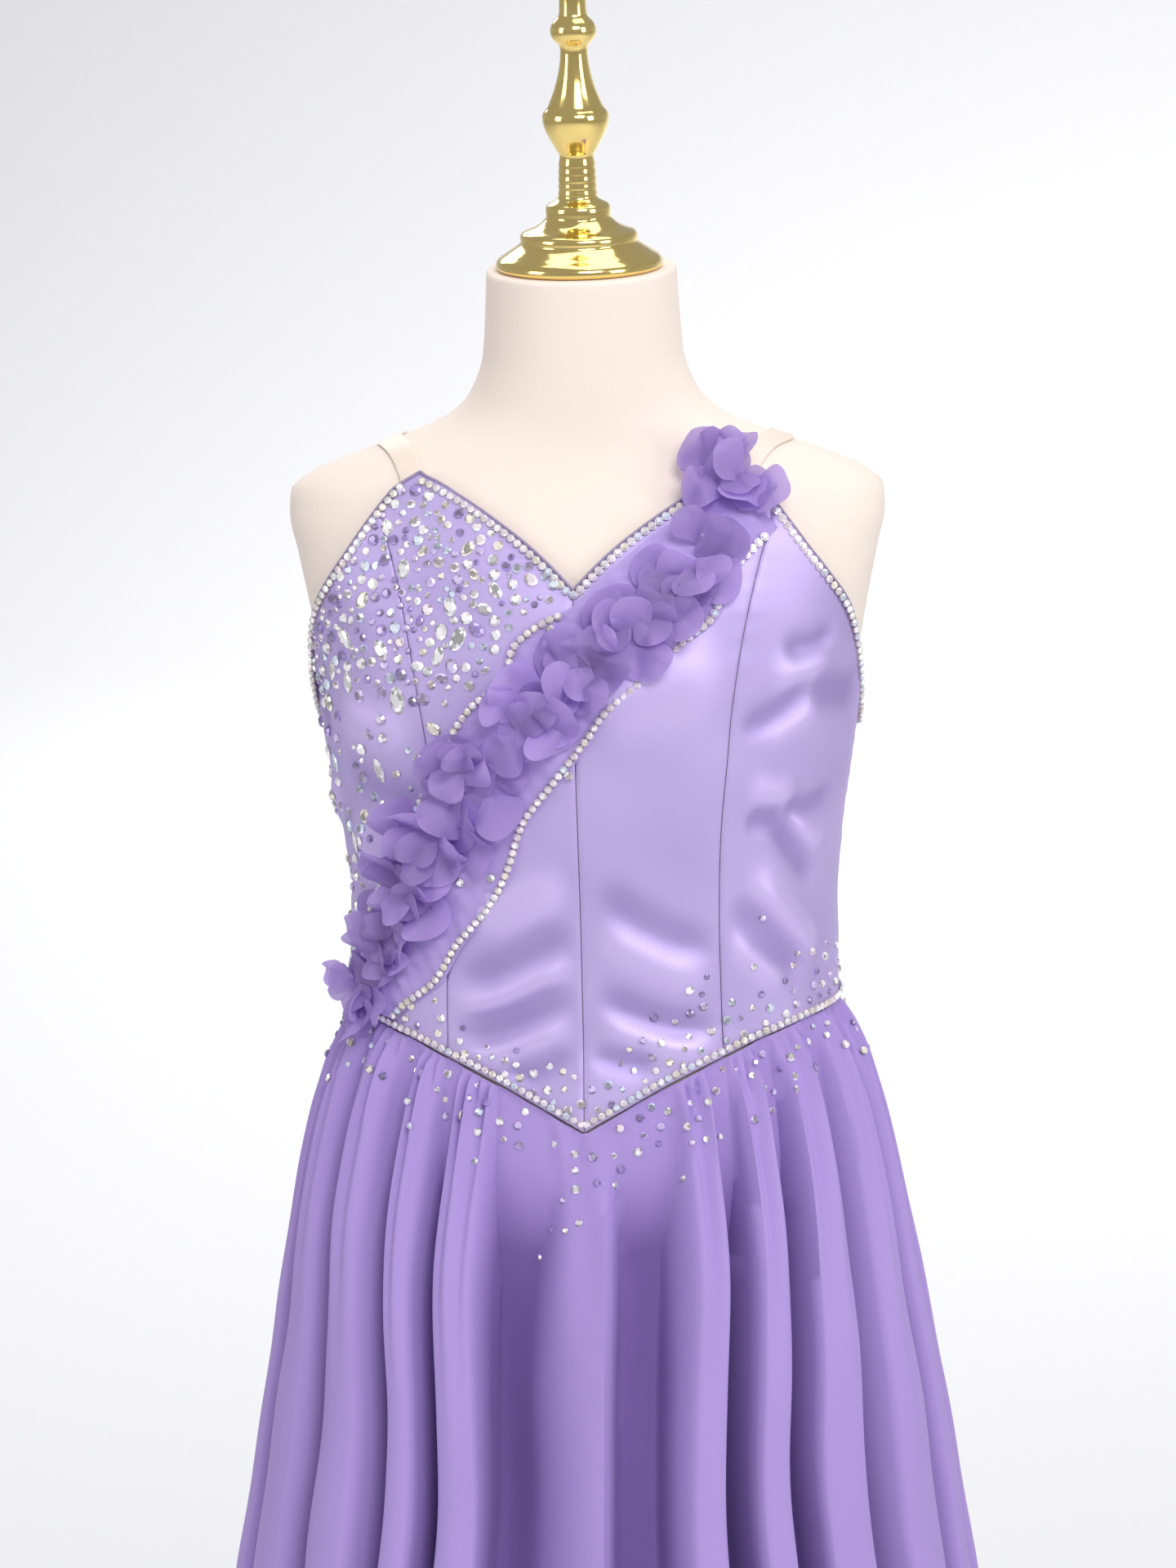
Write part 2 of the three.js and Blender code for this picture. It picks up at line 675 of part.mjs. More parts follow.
// Half of the skirt, from one side seam to the other, with a column at each gather's crest and dip.
function skirtHalf(name, from, to) {
  const perFold = 2 * GATHER.perFold;
  const valleys = FOLDS.map((row) => row.turn);
  const twiceRound = [...valleys, ...valleys.slice(1).map((turn) => turn + 360)];
  const ring = twiceRound.filter((turn) => turn >= from && turn <= to);
  const turns = ring
    .slice(1)
    .flatMap((turn, k) => Array.from({ length: perFold }, (_, n) => lerp(ring[k], turn, n / perFold)));
  turns.push(to);
  const corner = (i, j, side) => {
    const height = lerp(HEM, skirtTop(turns[i]), 1 - SKIRT_ROWS.at(-1 - j));
    const inset = i === 0 ? 1 : i === turns.length - 1 ? -1 : 0;
    const turn = turns[i] + inset * seamTurn(SKIRT, height);
    return moved(skirt, turn, height, side ? -CHIFFON_WALL : 0).setZ(height);
  };
  piece(name, wall(turns.length, SKIRT_ROWS.length, corner), CHIFFON);
}

// ---------------------------------------------------------------- the whole

dressForm();
stand();
bodicePanels();
placket();
straps();
band();
FLOWERS.forEach((row, k) => flower(`flower_${String(k + 1).padStart(2, "0")}`, row));
chains();
skirtHalf("skirt_front", -90, 90);
skirtHalf("skirt_back", 90, 270);

export default group;
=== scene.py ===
# %% [markdown]
# # A ballet dress on a dress form
# This lesson dresses a plain model of a lyrical ballet dress and the form that it hangs on. The plain model
# is the frame: it has every panel, trim and flower in place, with few faces. Here each soft piece is laid
# again in fine mesh on the same surfaces, and gets its folds, seams, stones and finish. Sizes are in
# millimetres, as a maker would write them, and are turned into Blender's metres in one place, where a mesh is
# laid.

# %% Load the frame
import math
import random
from contextlib import contextmanager

import bpy
import numpy as np
from mathutils import Matrix, Quaternion, Vector


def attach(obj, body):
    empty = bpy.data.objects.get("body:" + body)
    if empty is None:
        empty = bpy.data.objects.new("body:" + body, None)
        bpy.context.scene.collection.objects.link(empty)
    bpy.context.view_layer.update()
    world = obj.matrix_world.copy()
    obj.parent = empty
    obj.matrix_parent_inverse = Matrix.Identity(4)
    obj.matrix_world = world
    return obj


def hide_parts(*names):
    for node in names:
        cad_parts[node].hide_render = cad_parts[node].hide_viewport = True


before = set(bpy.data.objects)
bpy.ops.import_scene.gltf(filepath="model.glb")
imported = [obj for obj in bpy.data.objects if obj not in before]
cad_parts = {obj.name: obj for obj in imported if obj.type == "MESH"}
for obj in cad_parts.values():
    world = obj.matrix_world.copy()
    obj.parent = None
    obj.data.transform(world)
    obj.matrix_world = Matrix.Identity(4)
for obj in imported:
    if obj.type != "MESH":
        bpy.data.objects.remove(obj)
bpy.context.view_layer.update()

MM = 0.001

# %% [markdown]
# ## Camera
# The camera stands a little to the wearer's left and a little above the bodice. It leans by about one degree,
# so the form seems to lean the other way. Its long lens keeps the dress from swelling towards the viewer.

# %% Camera
VIEW = {"azimuth": 5, "elevation": 10, "lean": -1.15, "away": 2.6, "lens": 110.8, "sensor": 36}
AIM = Vector((-0.0022, 0, 1.05))


def set_camera():
    azimuth, elevation = math.radians(VIEW["azimuth"]), math.radians(VIEW["elevation"])
    level = math.cos(elevation)
    back = Vector((math.sin(azimuth) * level, -math.cos(azimuth) * level, math.sin(elevation)))
    bpy.ops.object.camera_add(location=AIM + back * VIEW["away"])
    eye = bpy.context.object
    lean = Quaternion((0, 0, 1), math.radians(VIEW["lean"]))
    eye.rotation_euler = (back.to_track_quat("Z", "Y") @ lean).to_euler()
    eye.data.lens = VIEW["lens"]
    eye.data.sensor_width = VIEW["sensor"]
    bpy.context.scene.camera = eye


set_camera()

# %% [markdown]
# ## Colours on the screen
# Blender's default view transform, AgX, tames very bright lights and greys strong colours. This dress is lit
# softly and its lilacs should stay clear, so the plain Standard transform is used.

# %% View transform
bpy.context.scene.view_settings.view_transform = "Standard"

# %% [markdown]
# ## Tables and curves
# The form and the skirt are sections with a half width and a depth in front and behind, a row for each
# height. Between the rows the numbers are read on a curve that never overshoots, so a section never bulges by
# accident.

# %% Tables that are read on a smooth curve
class Table:
    """Rows with named columns. The first column is the key, in rising order."""

    def __init__(self, names, rows):
        self.columns = dict(zip(names.split(), np.array(rows, float).T))
        self.key = names.split()[0]

    def read(self, name, at):
        x, y = self.columns[self.key], self.columns[name]
        secant = np.diff(y) / np.diff(x)
        slope = np.empty_like(y)
        slope[0], slope[-1] = secant[0], secant[-1]
        before, after = secant[:-1], secant[1:]
        rising = before * after > 0
        slope[1:-1] = np.where(rising, 2 * before * after / np.where(rising, before + after, 1), 0)
        at = np.clip(at, x[0], x[-1])
        i = np.clip(np.searchsorted(x, at, side="right") - 1, 0, len(x) - 2)
        span = x[i + 1] - x[i]
        t = (at - x[i]) / span
        low = y[i] * (1 + 2 * t) * (1 - t) ** 2 + slope[i] * span * t * (1 - t) ** 2
        return low + y[i + 1] * t * t * (3 - 2 * t) + slope[i + 1] * span * t * t * (t - 1)


def smooth(t):
    t = np.clip(t, 0, 1)
    return t * t * (3 - 2 * t)


def lerp(a, b, t):
    return a + (b - a) * t


# %% Sizes of the dress and the form, in millimetres
SEAM_GAP = 0.4
EASE = 3.4  # from the form to the satin's inside
SATIN_WALL = 1.8  # the walls of the frame, which are thicker than the cloth
BAND_WALL = 1.0
BAND_BASE = SATIN_WALL + 2 * SEAM_GAP
LIFT = 0.35  # how far the fine cloth lies outside the frame's own face
CLOTH = {"satin": 1.5, "lap": 1.0, "elastic": 0.9, "chiffon": 0.9, "petal": 0.2}  # how thick each cloth is
HEM = 285
FOLD_DEPTH = 50
LET_OUT = 110  # the drop in which the skirt leaves the shape of the waist seam
NECK_LEAN = 5  # in degrees
FULLNESS = 2.3  # of a section: 2 is an ellipse, and more is squarer
BODICE_DEGREE, SKIRT_DEGREE = 2.3, 4  # about how wide a degree of turn is, as ripples need it
PIPING = 0.85  # half as thick as the piping
CHAIN = {
    "inset": 2.8, "clear": 0.5, "pitch": 4.5, "stone": 2.0, "stone_high": 1.9, "seat": 0.75,
    "rim": 0.25, "cup_high": 1.1, "link_wide": 0.55, "link_high": 0.5,
}
STRAP = {"width": 13, "wall": 1, "centre": 1150}
POLE = {"radius": 12.5, "chamfer": 0.5}

TORSO = Table("height half front back", [
    (772, 122, 82, 86), (800, 133, 88, 96), (850, 135, 89, 98), (890, 131, 84, 90), (930, 126, 79, 78),
    (980, 126, 81, 77), (1030, 129, 87, 81), (1080, 137, 94, 87), (1115, 143, 96, 90), (1150, 149, 91, 90),
    (1180, 155, 81, 86), (1200, 159, 71, 79), (1212, 158, 64, 72), (1221, 147, 59, 66), (1231, 122, 55, 59),
    (1241, 94, 53, 53), (1250, 74, 53, 48), (1262, 61, 54, 44), (1284, 53, 56, 40), (1329, 50, 61, 36),
])
SKIRT = Table("height half front back", [
    (285, 260, 230, 238), (450, 233, 200, 209), (626, 202, 166, 176), (767, 178, 136, 145),
    (855, 160, 115, 122), (899, 148, 104, 105), (930, 133, 92, 88),
])
# The bodice's upper edge from the centre front to the centre back, with the strap's tip at a turn of 33.
TIP, BACK_TIP = 33, 150
NECKLINE = Table("turn height", [(0, 1166), (7, 1184), (17, 1204), (25, 1216), (TIP, 1223)])
ARMHOLE = Table("turn height", [
    (TIP, 1223), (42, 1195), (52, 1173), (63, 1152), (74, 1122), (84, 1098), (95, 1087), (112, 1090),
    (134, 1106), (BACK_TIP, 1126),
])
BACK_EDGE = Table("turn height", [(BACK_TIP, 1126), (165, 1112), (180, 1106)])
WAIST_SEAM = Table("turn height", [
    (0, 879), (10, 892), (20, 904), (31, 915), (45, 926), (60, 932), (80, 934), (180, 934),
])
FRONT_SEAM = Table("height turn", [
    (870, 33.4), (1027, 32.4), (1093, 32.6), (1143, 34), (1183, 36), (1230, 39.5),
])
BACK_SEAM = Table("height turn", [(900, 151), (1000, 152), (1130, 143)])
# The valleys between the skirt's folds, each with the share of the full depth that it has. The next four
# numbers are degrees: how wide its floor is on either side, and how wide the fall before it and the rise
# after it are. The last number leans its floor to one side.
FOLDS = Table("turn deep before fall after rise lean", [
    (-180, 0.8, 0.8, 2.6, 0.8, 3.4, 0), (-168, 0.65, 1.5, 3.4, 0.5, 2.6, 0.7),
    (-147, 1, 2.4, 2.6, 1.2, 3, -1), (-136, 0.7, 0.5, 2.6, 0.5, 4, 0.8), (-116, 1, 1.5, 4, 0.8, 2.4, -0.4),
    (-105, 0.65, 0.6, 2.4, 2, 3, -0.7), (-90, 0.85, 0.8, 2.6, 0.8, 2.6, 0),
    (-75, 0.8, 0.8, 2.6, 0.8, 2.6, -0.9), (-58, 0.95, 1.5, 2.6, 0.5, 2.4, 0.3),
    (-42, 0.95, 1.8, 3, 0.5, 2.4, 0.4), (-31, 1, 1, 2.2, 0.5, 2.2, -0.9),
    (-19.2, 0.9, 0.2, 1.4, 1.6, 24, -1.1), (18, 0.75, 8, 6, 0.6, 3.4, -0.5),
    (31.2, 1, 1.6, 2, 2.2, 1.4, 0.4), (43.4, 1, 1.6, 2, 1.6, 1.8, 1), (60, 1, 2.4, 2.2, 1.6, 2.4, -0.3),
    (77, 0.8, 0.8, 2.6, 0.8, 2.6, 0.6), (90, 0.85, 0.8, 2.6, 0.8, 2.6, 0), (102, 0.7, 0.6, 2.6, 1, 4, -0.7),
    (123, 1, 2, 3, 0.8, 3, 1), (134, 0.65, 0.5, 2.6, 0.5, 2.4, -0.8), (151, 0.95, 0.8, 4, 2, 2.6, 0.2),
    (169, 0.75, 0.8, 2.6, 0.6, 3, 0.6), (180, 0.8, 0.8, 2.6, 0.8, 2.6, 0),
])
DEEPENING = Table("drop share", [
    (0, 0), (12, 0.2), (40, 0.62), (80, 0.82), (150, 0.9), (300, 0.96), (650, 1),
])

# %% [markdown]
# ## Surfaces
# Each surface is a function of two numbers. The form and the bodice take a turn round the body, in degrees
# from the centre front towards the wearer's left, and a height. The bodice is the form moved out along its
# own normal, so whatever lies on it, from the band to a single stone, asks the same function for its place.

# %% Surfaces of the form, the bodice and the shoulder
def section_point(table, turn, height):
    s, c = np.sin(np.radians(turn)), np.cos(np.radians(turn))
    out = (np.abs(s) ** FULLNESS + np.abs(c) ** FULLNESS) ** (-1 / FULLNESS)
    depth = np.where(c >= 0, table.read("front", height), table.read("back", height))
    return np.stack([table.read("half", height) * s * out, -depth * c * out, height + 0 * s], -1)


def unit(vectors):
    return vectors / np.linalg.norm(vectors, axis=-1, keepdims=True)


def way_out(surface, a, b, step=0.5):
    across = surface(a + step, b) - surface(a - step, b)
    up = surface(a, b + step) - surface(a, b - step)
    return unit(np.cross(across, up))


def torso(turn, height):
    p = section_point(TORSO, turn, height)
    p[..., 2] += math.tan(math.radians(NECK_LEAN)) * p[..., 1] * smooth((height - 1250) / 79)
    return p


def bodice(turn, height, out):
    turn, height = np.asarray(turn, float), np.asarray(height, float)
    return torso(turn, height) + way_out(torso, turn, height) * np.asarray(EASE + out)[..., None]


def upper_edge(turn):
    away = np.abs(turn)
    side = np.where(away < BACK_TIP, ARMHOLE.read("height", away), BACK_EDGE.read("height", away))
    return np.where(away < TIP, NECKLINE.read("height", away), side)


def waist_seam(turn):
    return WAIST_SEAM.read("height", np.abs(turn))


def mm_a_degree(height):
    """How wide one degree of turn is on the form, near enough for seams and stones."""
    return TORSO.read("half", height) * math.pi / 180


def shoulder(across, angle):
    """A point of the shoulder on a ray round the side-to-side line through its centre."""
    across, angle = np.broadcast_arrays(np.asarray(across, float), np.asarray(angle, float))
    ray = np.stack([0 * angle, -np.cos(np.radians(angle)), np.sin(np.radians(angle))], -1)
    start = np.stack([across, 0 * across, STRAP["centre"] + 0 * across], -1)
    near, far = np.zeros_like(across), np.full_like(across, 160.0)
    for _ in range(30):
        middle = (near + far) / 2
        p = start + ray * middle[..., None]
        depth = np.where(p[..., 1] < 0, TORSO.read("front", p[..., 2]), TORSO.read("back", p[..., 2]))
        half = TORSO.read("half", p[..., 2])
        inside = np.abs(p[..., 0] / half) ** FULLNESS + np.abs(p[..., 1] / depth) ** FULLNESS < 1
        near, far = np.where(inside, middle, near), np.where(inside, far, middle)
    return start + ray * near[..., None]


# %% [markdown]
# ## Cloth from a grid
# A flat piece of cloth is a grid. The primitive operator makes it, and each of its points is then laid where
# the cloth is sewn, by its place across and up the piece. The same walk over the grid gives the true width,
# length and area of the cloth, which is how large it was cut. A Solidify modifier gives it its thickness.

# %% Laying, thickening and joining
cut = {}


def select_only(*pieces):
    bpy.ops.object.select_all(action="DESELECT")
    for piece in pieces:
        piece.select_set(True)
    bpy.context.view_layer.objects.active = pieces[0]


@contextmanager
def editing(piece):
    """Edit mode on one piece, with all of it selected."""
    select_only(piece)
    bpy.ops.object.mode_set(mode="EDIT")
    bpy.ops.mesh.select_all(action="SELECT")
    yield
    bpy.ops.object.mode_set(mode="OBJECT")


def lay(name, columns, rows, place):
    """A grid whose points go where place(u, v) says, in millimetres, with u and v from 0 to 1."""
    bpy.ops.object.select_all(action="DESELECT")
    bpy.ops.mesh.primitive_grid_add(x_subdivisions=columns, y_subdivisions=rows, size=1)
    piece = bpy.context.object
    piece.name = piece.data.name = name
    mesh = piece.data
    flat = np.empty(3 * len(mesh.vertices))
    mesh.vertices.foreach_get("co", flat)
    u, v = flat[0::3] + 0.5, flat[1::3] + 0.5
    laid = place(u, v)
    mesh.vertices.foreach_set("co", (laid * MM).ravel())
    order = np.lexsort((np.round(u * columns), np.round(v * rows)))
    net = laid[order].reshape(rows + 1, columns + 1, 3) * MM
    width = np.linalg.norm(np.diff(net, axis=1), axis=2).sum(1).max()
    length = np.linalg.norm(np.diff(net, axis=0), axis=2).sum(0).max()
    diagonals = np.cross(net[1:, 1:] - net[:-1, :-1], net[1:, :-1] - net[:-1, 1:])
    cut[name] = (width, length, np.linalg.norm(diagonals, axis=2).sum() / 2)
    uv = np.empty(2 * len(mesh.loops))
    mesh.uv_layers[0].data.foreach_get("uv", uv)
    mesh.uv_layers[0].data.foreach_set("uv", (uv.reshape(-1, 2) * (width, length)).ravel())
    mesh.update()
    return piece


def apply_all(piece):
    select_only(piece)
    for modifier in list(piece.modifiers):
        bpy.ops.object.modifier_apply(modifier=modifier.name)


def thicken(piece, wall, offset=-1):
    modifier = piece.modifiers.new("Wall", "SOLIDIFY")
    modifier.thickness = wall * MM
    modifier.offset = offset
    apply_all(piece)
    return piece


def merge_doubles(piece, fill=False):
    with editing(piece):
        bpy.ops.mesh.remove_doubles(threshold=1e-5)
        if fill:
            bpy.ops.mesh.select_all(action="DESELECT")
            bpy.ops.mesh.select_non_manifold(extend=False)
            bpy.ops.mesh.fill_holes(sides=0)
            bpy.ops.mesh.select_all(action="SELECT")
            bpy.ops.mesh.normals_make_consistent(inside=False)
    return piece


def join(name, pieces):
    select_only(*pieces)
    if len(pieces) > 1:
        bpy.ops.object.join()
    whole = bpy.context.object
    whole.name = whole.data.name = name
    return whole


def dress(piece, paint, slot, *nodes, crease=50):
    """The last steps of every piece: finish, smooth shading, body and what it stands for. The slot is not
    used.
    """
    piece.data.materials.clear()
    piece.data.materials.append(paint.material)
    select_only(piece)
    bpy.ops.object.shade_smooth_by_angle(angle=math.radians(crease))
    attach(piece, "root")
    if nodes:
        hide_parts(*nodes)
    return piece


def declare(piece, names=None):
    """Prints how large the cloth was cut."""
    sizes = [cut[name] for name in names or [piece.name]]
    width, length, area = sum(s[0] for s in sizes), max(s[1] for s in sizes), sum(s[2] for s in sizes)
    min(area, width * length)
    print(f"{piece.name}: cut {width * 1000:.0f} x {length * 1000:.0f} mm, {area * 1e4:.0f} cm2")


def keep(piece, name, numbers):
    """Writes one number for each point on the mesh, where a paint can read it."""
    piece.data.attributes.new(name, "FLOAT", "POINT").data.foreach_set("value", numbers)


def ripple(a, b, waves):
    """Soft unevenness: a sum of waves, each with its length, its direction in degrees, phase and height."""
    total = 0
    for length, way, phase, high in waves:
        along = a * math.cos(math.radians(way)) + b * math.sin(math.radians(way))
        total = total + high * np.sin(2 * math.pi * along / length + phase)
    return total


# %% [markdown]
# ## Turned shapes
# A circle is extruded up along a profile and scaled to each radius, as on a lathe. The gilt metal is made so,
# and so is each cut stone: a stone is only a very short turned piece with few sides.

# %% A solid of revolution
def turned(name, profile, sides, scale=MM):
    """Rings, each with a radius and a height, drawn from the bottom up and closed at both ends."""
    radius, height = profile[0]
    bpy.ops.mesh.primitive_circle_add(
        vertices=sides, radius=radius * scale, location=(0, 0, height * scale), fill_type="NGON"
    )
    piece = bpy.context.object
    piece.name = piece.data.name = name
    select_only(piece)
    bpy.ops.object.transform_apply(location=True)
    with editing(piece):
        for next_radius, next_height in profile[1:]:
            rise = (0, 0, (next_height - height) * scale)
            bpy.ops.mesh.extrude_region_move(TRANSFORM_OT_translate={"value": rise})
            size = next_radius / radius
            bpy.ops.transform.resize(value=(size, size, 1), center_override=(0, 0, next_height * scale))
            radius, height = next_radius, next_height
        bpy.ops.mesh.select_all(action="SELECT")
        bpy.ops.mesh.normals_make_consistent(inside=False)
    return piece


# %% [markdown]
# ## Mixing materials
# A material's nodes are arithmetic on a picture that has no pixels yet. So a node's output is wrapped in a
# small class on which Python's own operators add the Math nodes. A line such as 0.4 + 0.1 * noise then reads
# as what it does. Every other kind of node comes from one method.

# %% Sockets as numbers
class Value:
    """One output of a node in a paint's tree."""

    def __init__(self, paint, socket):
        self.paint, self.socket = paint, socket

    def math(self, operation, *values):
        return self.paint.node("Math", {"operation": operation}, values)

    def __add__(self, other):
        return self.math("ADD", self, other)

    def __mul__(self, other):
        return self.math("MULTIPLY", self, other)

    def __pow__(self, other):
        return self.math("POWER", self, other)

    def sine(self):
        return self.math("SINE", self)

    __radd__ = __add__
    __rmul__ = __mul__


def shade(colour, factor):
    return (*(min(1, part * factor) for part in colour[:3]), 1)


class Paint:
    """A material that is being mixed."""

    def __init__(self, name, colour, roughness, **sockets):
        self.material = bpy.data.materials.new(name)
        self.material.use_nodes = True
        self.tree = self.material.node_tree
        self.shader = self.tree.nodes["Principled BSDF"]
        self.colour = (*colour, 1)
        self.put("Base Color", self.colour)
        self.put("Roughness", roughness)
        for socket, value in sockets.items():
            self.put(socket.replace("_", " ").title().replace("Ior", "IOR"), value)

    def put(self, socket, value):
        """Sets or links one of the shader's own sockets."""
        self.join(self.shader.inputs[socket], value)

    def join(self, socket, value):
        if isinstance(value, Value):
            self.tree.links.new(value.socket, socket)
        else:
            socket.default_value = value

    def node(self, kind, settings=None, values=(), output=0):
        node = self.tree.nodes.new("ShaderNode" + kind)
        for name, setting in (settings or {}).items():
            setattr(node, name, setting)
        pairs = values.items() if isinstance(values, dict) else enumerate(values)
        for key, value in pairs:
            self.join(node.inputs[key], value)
        return Value(self, node.outputs[output])

    def attribute(self, name, output="Fac"):
        """What a mesh keeps on its points or corners under this name."""
        return self.node("Attribute", {"attribute_name": name}, output=output)

    def coords(self, kind="Object", scale=(1, 1, 1)):
        return self.node("Mapping", {}, {"Vector": self.node("TexCoord", output=kind), "Scale": scale})

    def noise(self, vector, scale, detail):
        return self.node("TexNoise", {}, {"Vector": vector, "Scale": scale, "Detail": detail})

    def yarns(self, way, scale):
        settings = {"wave_type": "BANDS", "bands_direction": way}
        return self.node("TexWave", settings, {"Vector": self.coords("UV"), "Scale": scale})

    def blend(self, factor, a, b):
        return self.node("Mix", {"data_type": "RGBA"}, {0: factor, 6: a, 7: b}, output=2)

    def shades(self, factor, dark, light):
        """The paint's own colour, from so much darker to so much lighter."""
        return self.blend(factor, shade(self.colour, dark), shade(self.colour, light))

    def bump(self, height, strength, distance):
        values = {"Height": height, "Strength": strength, "Distance": distance * MM}
        self.put("Normal", self.node("Bump", {}, values))


# %% [markdown]
# ## The finishes
# Satin is woven with long floats, so it is smooth along one way and catches broad soft lights. Chiffon is a
# crepe of tightly twisted yarn and stays matt. Both weaves are finer than half a millimetre, so they are bump
# and a little unevenness in colour, laid along the cloth's own width and length, which its UV map gives in
# metres. The gilt of the cap and the foil behind the stones are mirrors, tinted by the metal's own colour.
# Some finishes read a number that the mesh keeps on its points, such as how deep a place lies in a fold. By
# it they darken the colour as painted shade, and the satin lightens its ridges as a painted highlight.

# %% Paints
WEAVE = 900  # how fine the chiffon's crepe is
RIBS = 6000  # how close the elastic's ribs are


def satin_paint():
    """Painted shade and painted highlight: loose satin is darker in its troughs and lighter on its ridges."""
    paint = Paint("lilac_satin", (0.54, 0.44, 0.80), 0.4, metallic=0.5, specular_ior_level=0.5)
    floats = paint.noise(paint.coords("UV", (260, 2600, 1)), 1, 2)
    body = paint.noise(paint.coords(), 9, 3)
    # Painted shade and highlight: the colour darkens where the drape number marks a trough and lightens on a
    # ridge.
    tone = 0.42 + 0.46 * paint.attribute("drape") + 0.04 * floats + 0.12 * body
    paint.put("Base Color", paint.blend(tone, (0.325, 0.255, 0.55, 1), (0.76, 0.63, 1.0, 1)))
    paint.put("Roughness", 0.49 + 0.08 * floats + 0.06 * body)
    paint.bump(floats, 0.12, 0.12)
    return paint


def chiffon(name, colour):
    """The crepe that every chiffon here is. Each then gets a play of colours of its own."""
    paint = Paint(name, colour, 0.82, sheen_weight=0.06, sheen_roughness=0.5)
    yarn = paint.noise(paint.coords("UV", (WEAVE, WEAVE, 1)), 1, 1)
    warp, weft = paint.yarns("X", WEAVE / 3), paint.yarns("Y", WEAVE / 3)
    paint.bump(0.5 * yarn + 0.25 * warp + 0.25 * weft, 0.15, 0.15)
    return paint, yarn, paint.noise(paint.coords(), 7, 3)


def band_paint():
    paint, yarn, cloud = chiffon("crinkled_chiffon", (0.45, 0.34, 0.70))
    paint.put("Base Color", paint.shades(0.2 * yarn + 0.8 * cloud, 0.9, 1.1))
    return paint


def skirt_paint():
    """Painted shade in the skirt's valleys: the farther a place lies behind the crests, the darker it is
    painted.
    """
    paint, _, cloud = chiffon("lilac_chiffon", (0.40, 0.285, 0.65))
    # The second colour is the painted shade at the floor of the deepest valleys.
    crest, valley = paint.shades(cloud, 0.95, 1.07), (0.19, 0.115, 0.36, 1)
    paint.put("Base Color", paint.blend(paint.attribute("valley_shade") ** 1.5, crest, valley))
    return paint


def petal_paint():
    """Thin chiffon: a single layer lets light and colours through, and more layers look deeper."""
    paint, *_ = chiffon("petal_chiffon", (0.58, 0.455, 0.76))
    paint.put("Base Color", paint.shades(paint.attribute("tone"), 0.82, 1.36))
    paint.put("Alpha", 0.5)
    thin = paint.node("BsdfTranslucent", {}, {"Color": (0.62, 0.48, 0.86, 1)})
    mixed = paint.node("MixShader", {}, [0.4, Value(paint, paint.shader.outputs[0]), thin])
    surface = paint.tree.nodes["Material Output"].inputs["Surface"]
    paint.tree.links.new(mixed.socket, surface)
    return paint


def linen_paint():
    paint = Paint("cream_linen", (0.89, 0.78, 0.70), 0.9, sheen_weight=0.15, sheen_roughness=0.5)
    warp = paint.noise(paint.coords("Object", (1500, 1500, 90)), 1, 2)
    weft = paint.noise(paint.coords("Object", (90, 90, 1500)), 1, 2)
    cloud = paint.noise(paint.coords(), 6, 3)
    paint.put("Base Color", paint.shades(0.3 * warp + 0.3 * weft + 0.4 * cloud, 0.95, 1.04))
    paint.bump(0.5 * warp + 0.5 * weft, 0.18, 0.2)
    return paint


def gilt_paint():
    paint = Paint("polished_gilt", (1.0, 0.74, 0.27), 0.14, metallic=1.0)
    haze = paint.noise(paint.coords(), 45, 3)
    paint.put("Roughness", 0.06 + 0.1 * haze)
    paint.put("Base Color", paint.shades(haze, 0.93, 1.08))
    return paint


def crystal_paint():
    """Cut glass on foil: each stone carries its tint and painted facet reflections as an attribute of its
    points.
    """
    paint = Paint("foiled_crystal", (0.9, 0.88, 0.95), 0.08, metallic=0.3, specular_ior_level=0.9)
    fire = paint.noise(paint.coords("Object", (420, 420, 420)), 1, 1)
    tint = paint.attribute("tint", "Color")
    paint.put("Base Color", paint.blend(0.3 * fire, tint, (1, 0.97, 0.93, 1)))
    paint.put("Roughness", 0.05 + 0.08 * fire)
    return paint


def silver_paint():
    paint = Paint("silvery_setting", (0.66, 0.60, 0.60), 0.3, metallic=0.7)
    wear = paint.noise(paint.coords("Object", (300, 300, 300)), 1, 2)
    paint.put("Roughness", 0.2 + 0.25 * wear)
    return paint


def elastic_paint():
    paint = Paint("skin_elastic", (0.86, 0.74, 0.64), 0.5, sheen_weight=0.2)
    ribs = (paint.node("SeparateXYZ", {}, [paint.coords("UV")]) * RIBS).sine()
    paint.put("Base Color", paint.shades(0.5 + 0.5 * ribs, 0.97, 1.02))
    paint.bump(ribs, 0.2, 0.12)
    return paint


def thread_paint():
    paint = Paint("piping_thread", (0.30, 0.25, 0.40), 0.6)
    ply = paint.noise(paint.coords("Object", (900, 900, 900)), 1, 1)
    paint.put("Base Color", paint.shades(ply, 0.8, 1.2))
    return paint


satin = satin_paint()
lilac_chiffon = skirt_paint()
band_chiffon = band_paint()
petal = petal_paint()
linen = linen_paint()
gilt = gilt_paint()
crystal = crystal_paint()
silver = silver_paint()
elastic = elastic_paint()
thread = thread_paint()
print("materials:", len(bpy.data.materials))

# %% [markdown]
# ## The floor and the lights
# Floor and wall are one sheet of pale paper that runs all round the dress, so the dress can be seen from
# every side. Between floor and wall is a wide bend in place of a corner, so no line shows. The light comes
# from large soft boxes, as in a studio. The world is a pale grey, which the gilt and the stones need: in a
# pure white room a mirror has nothing to show.

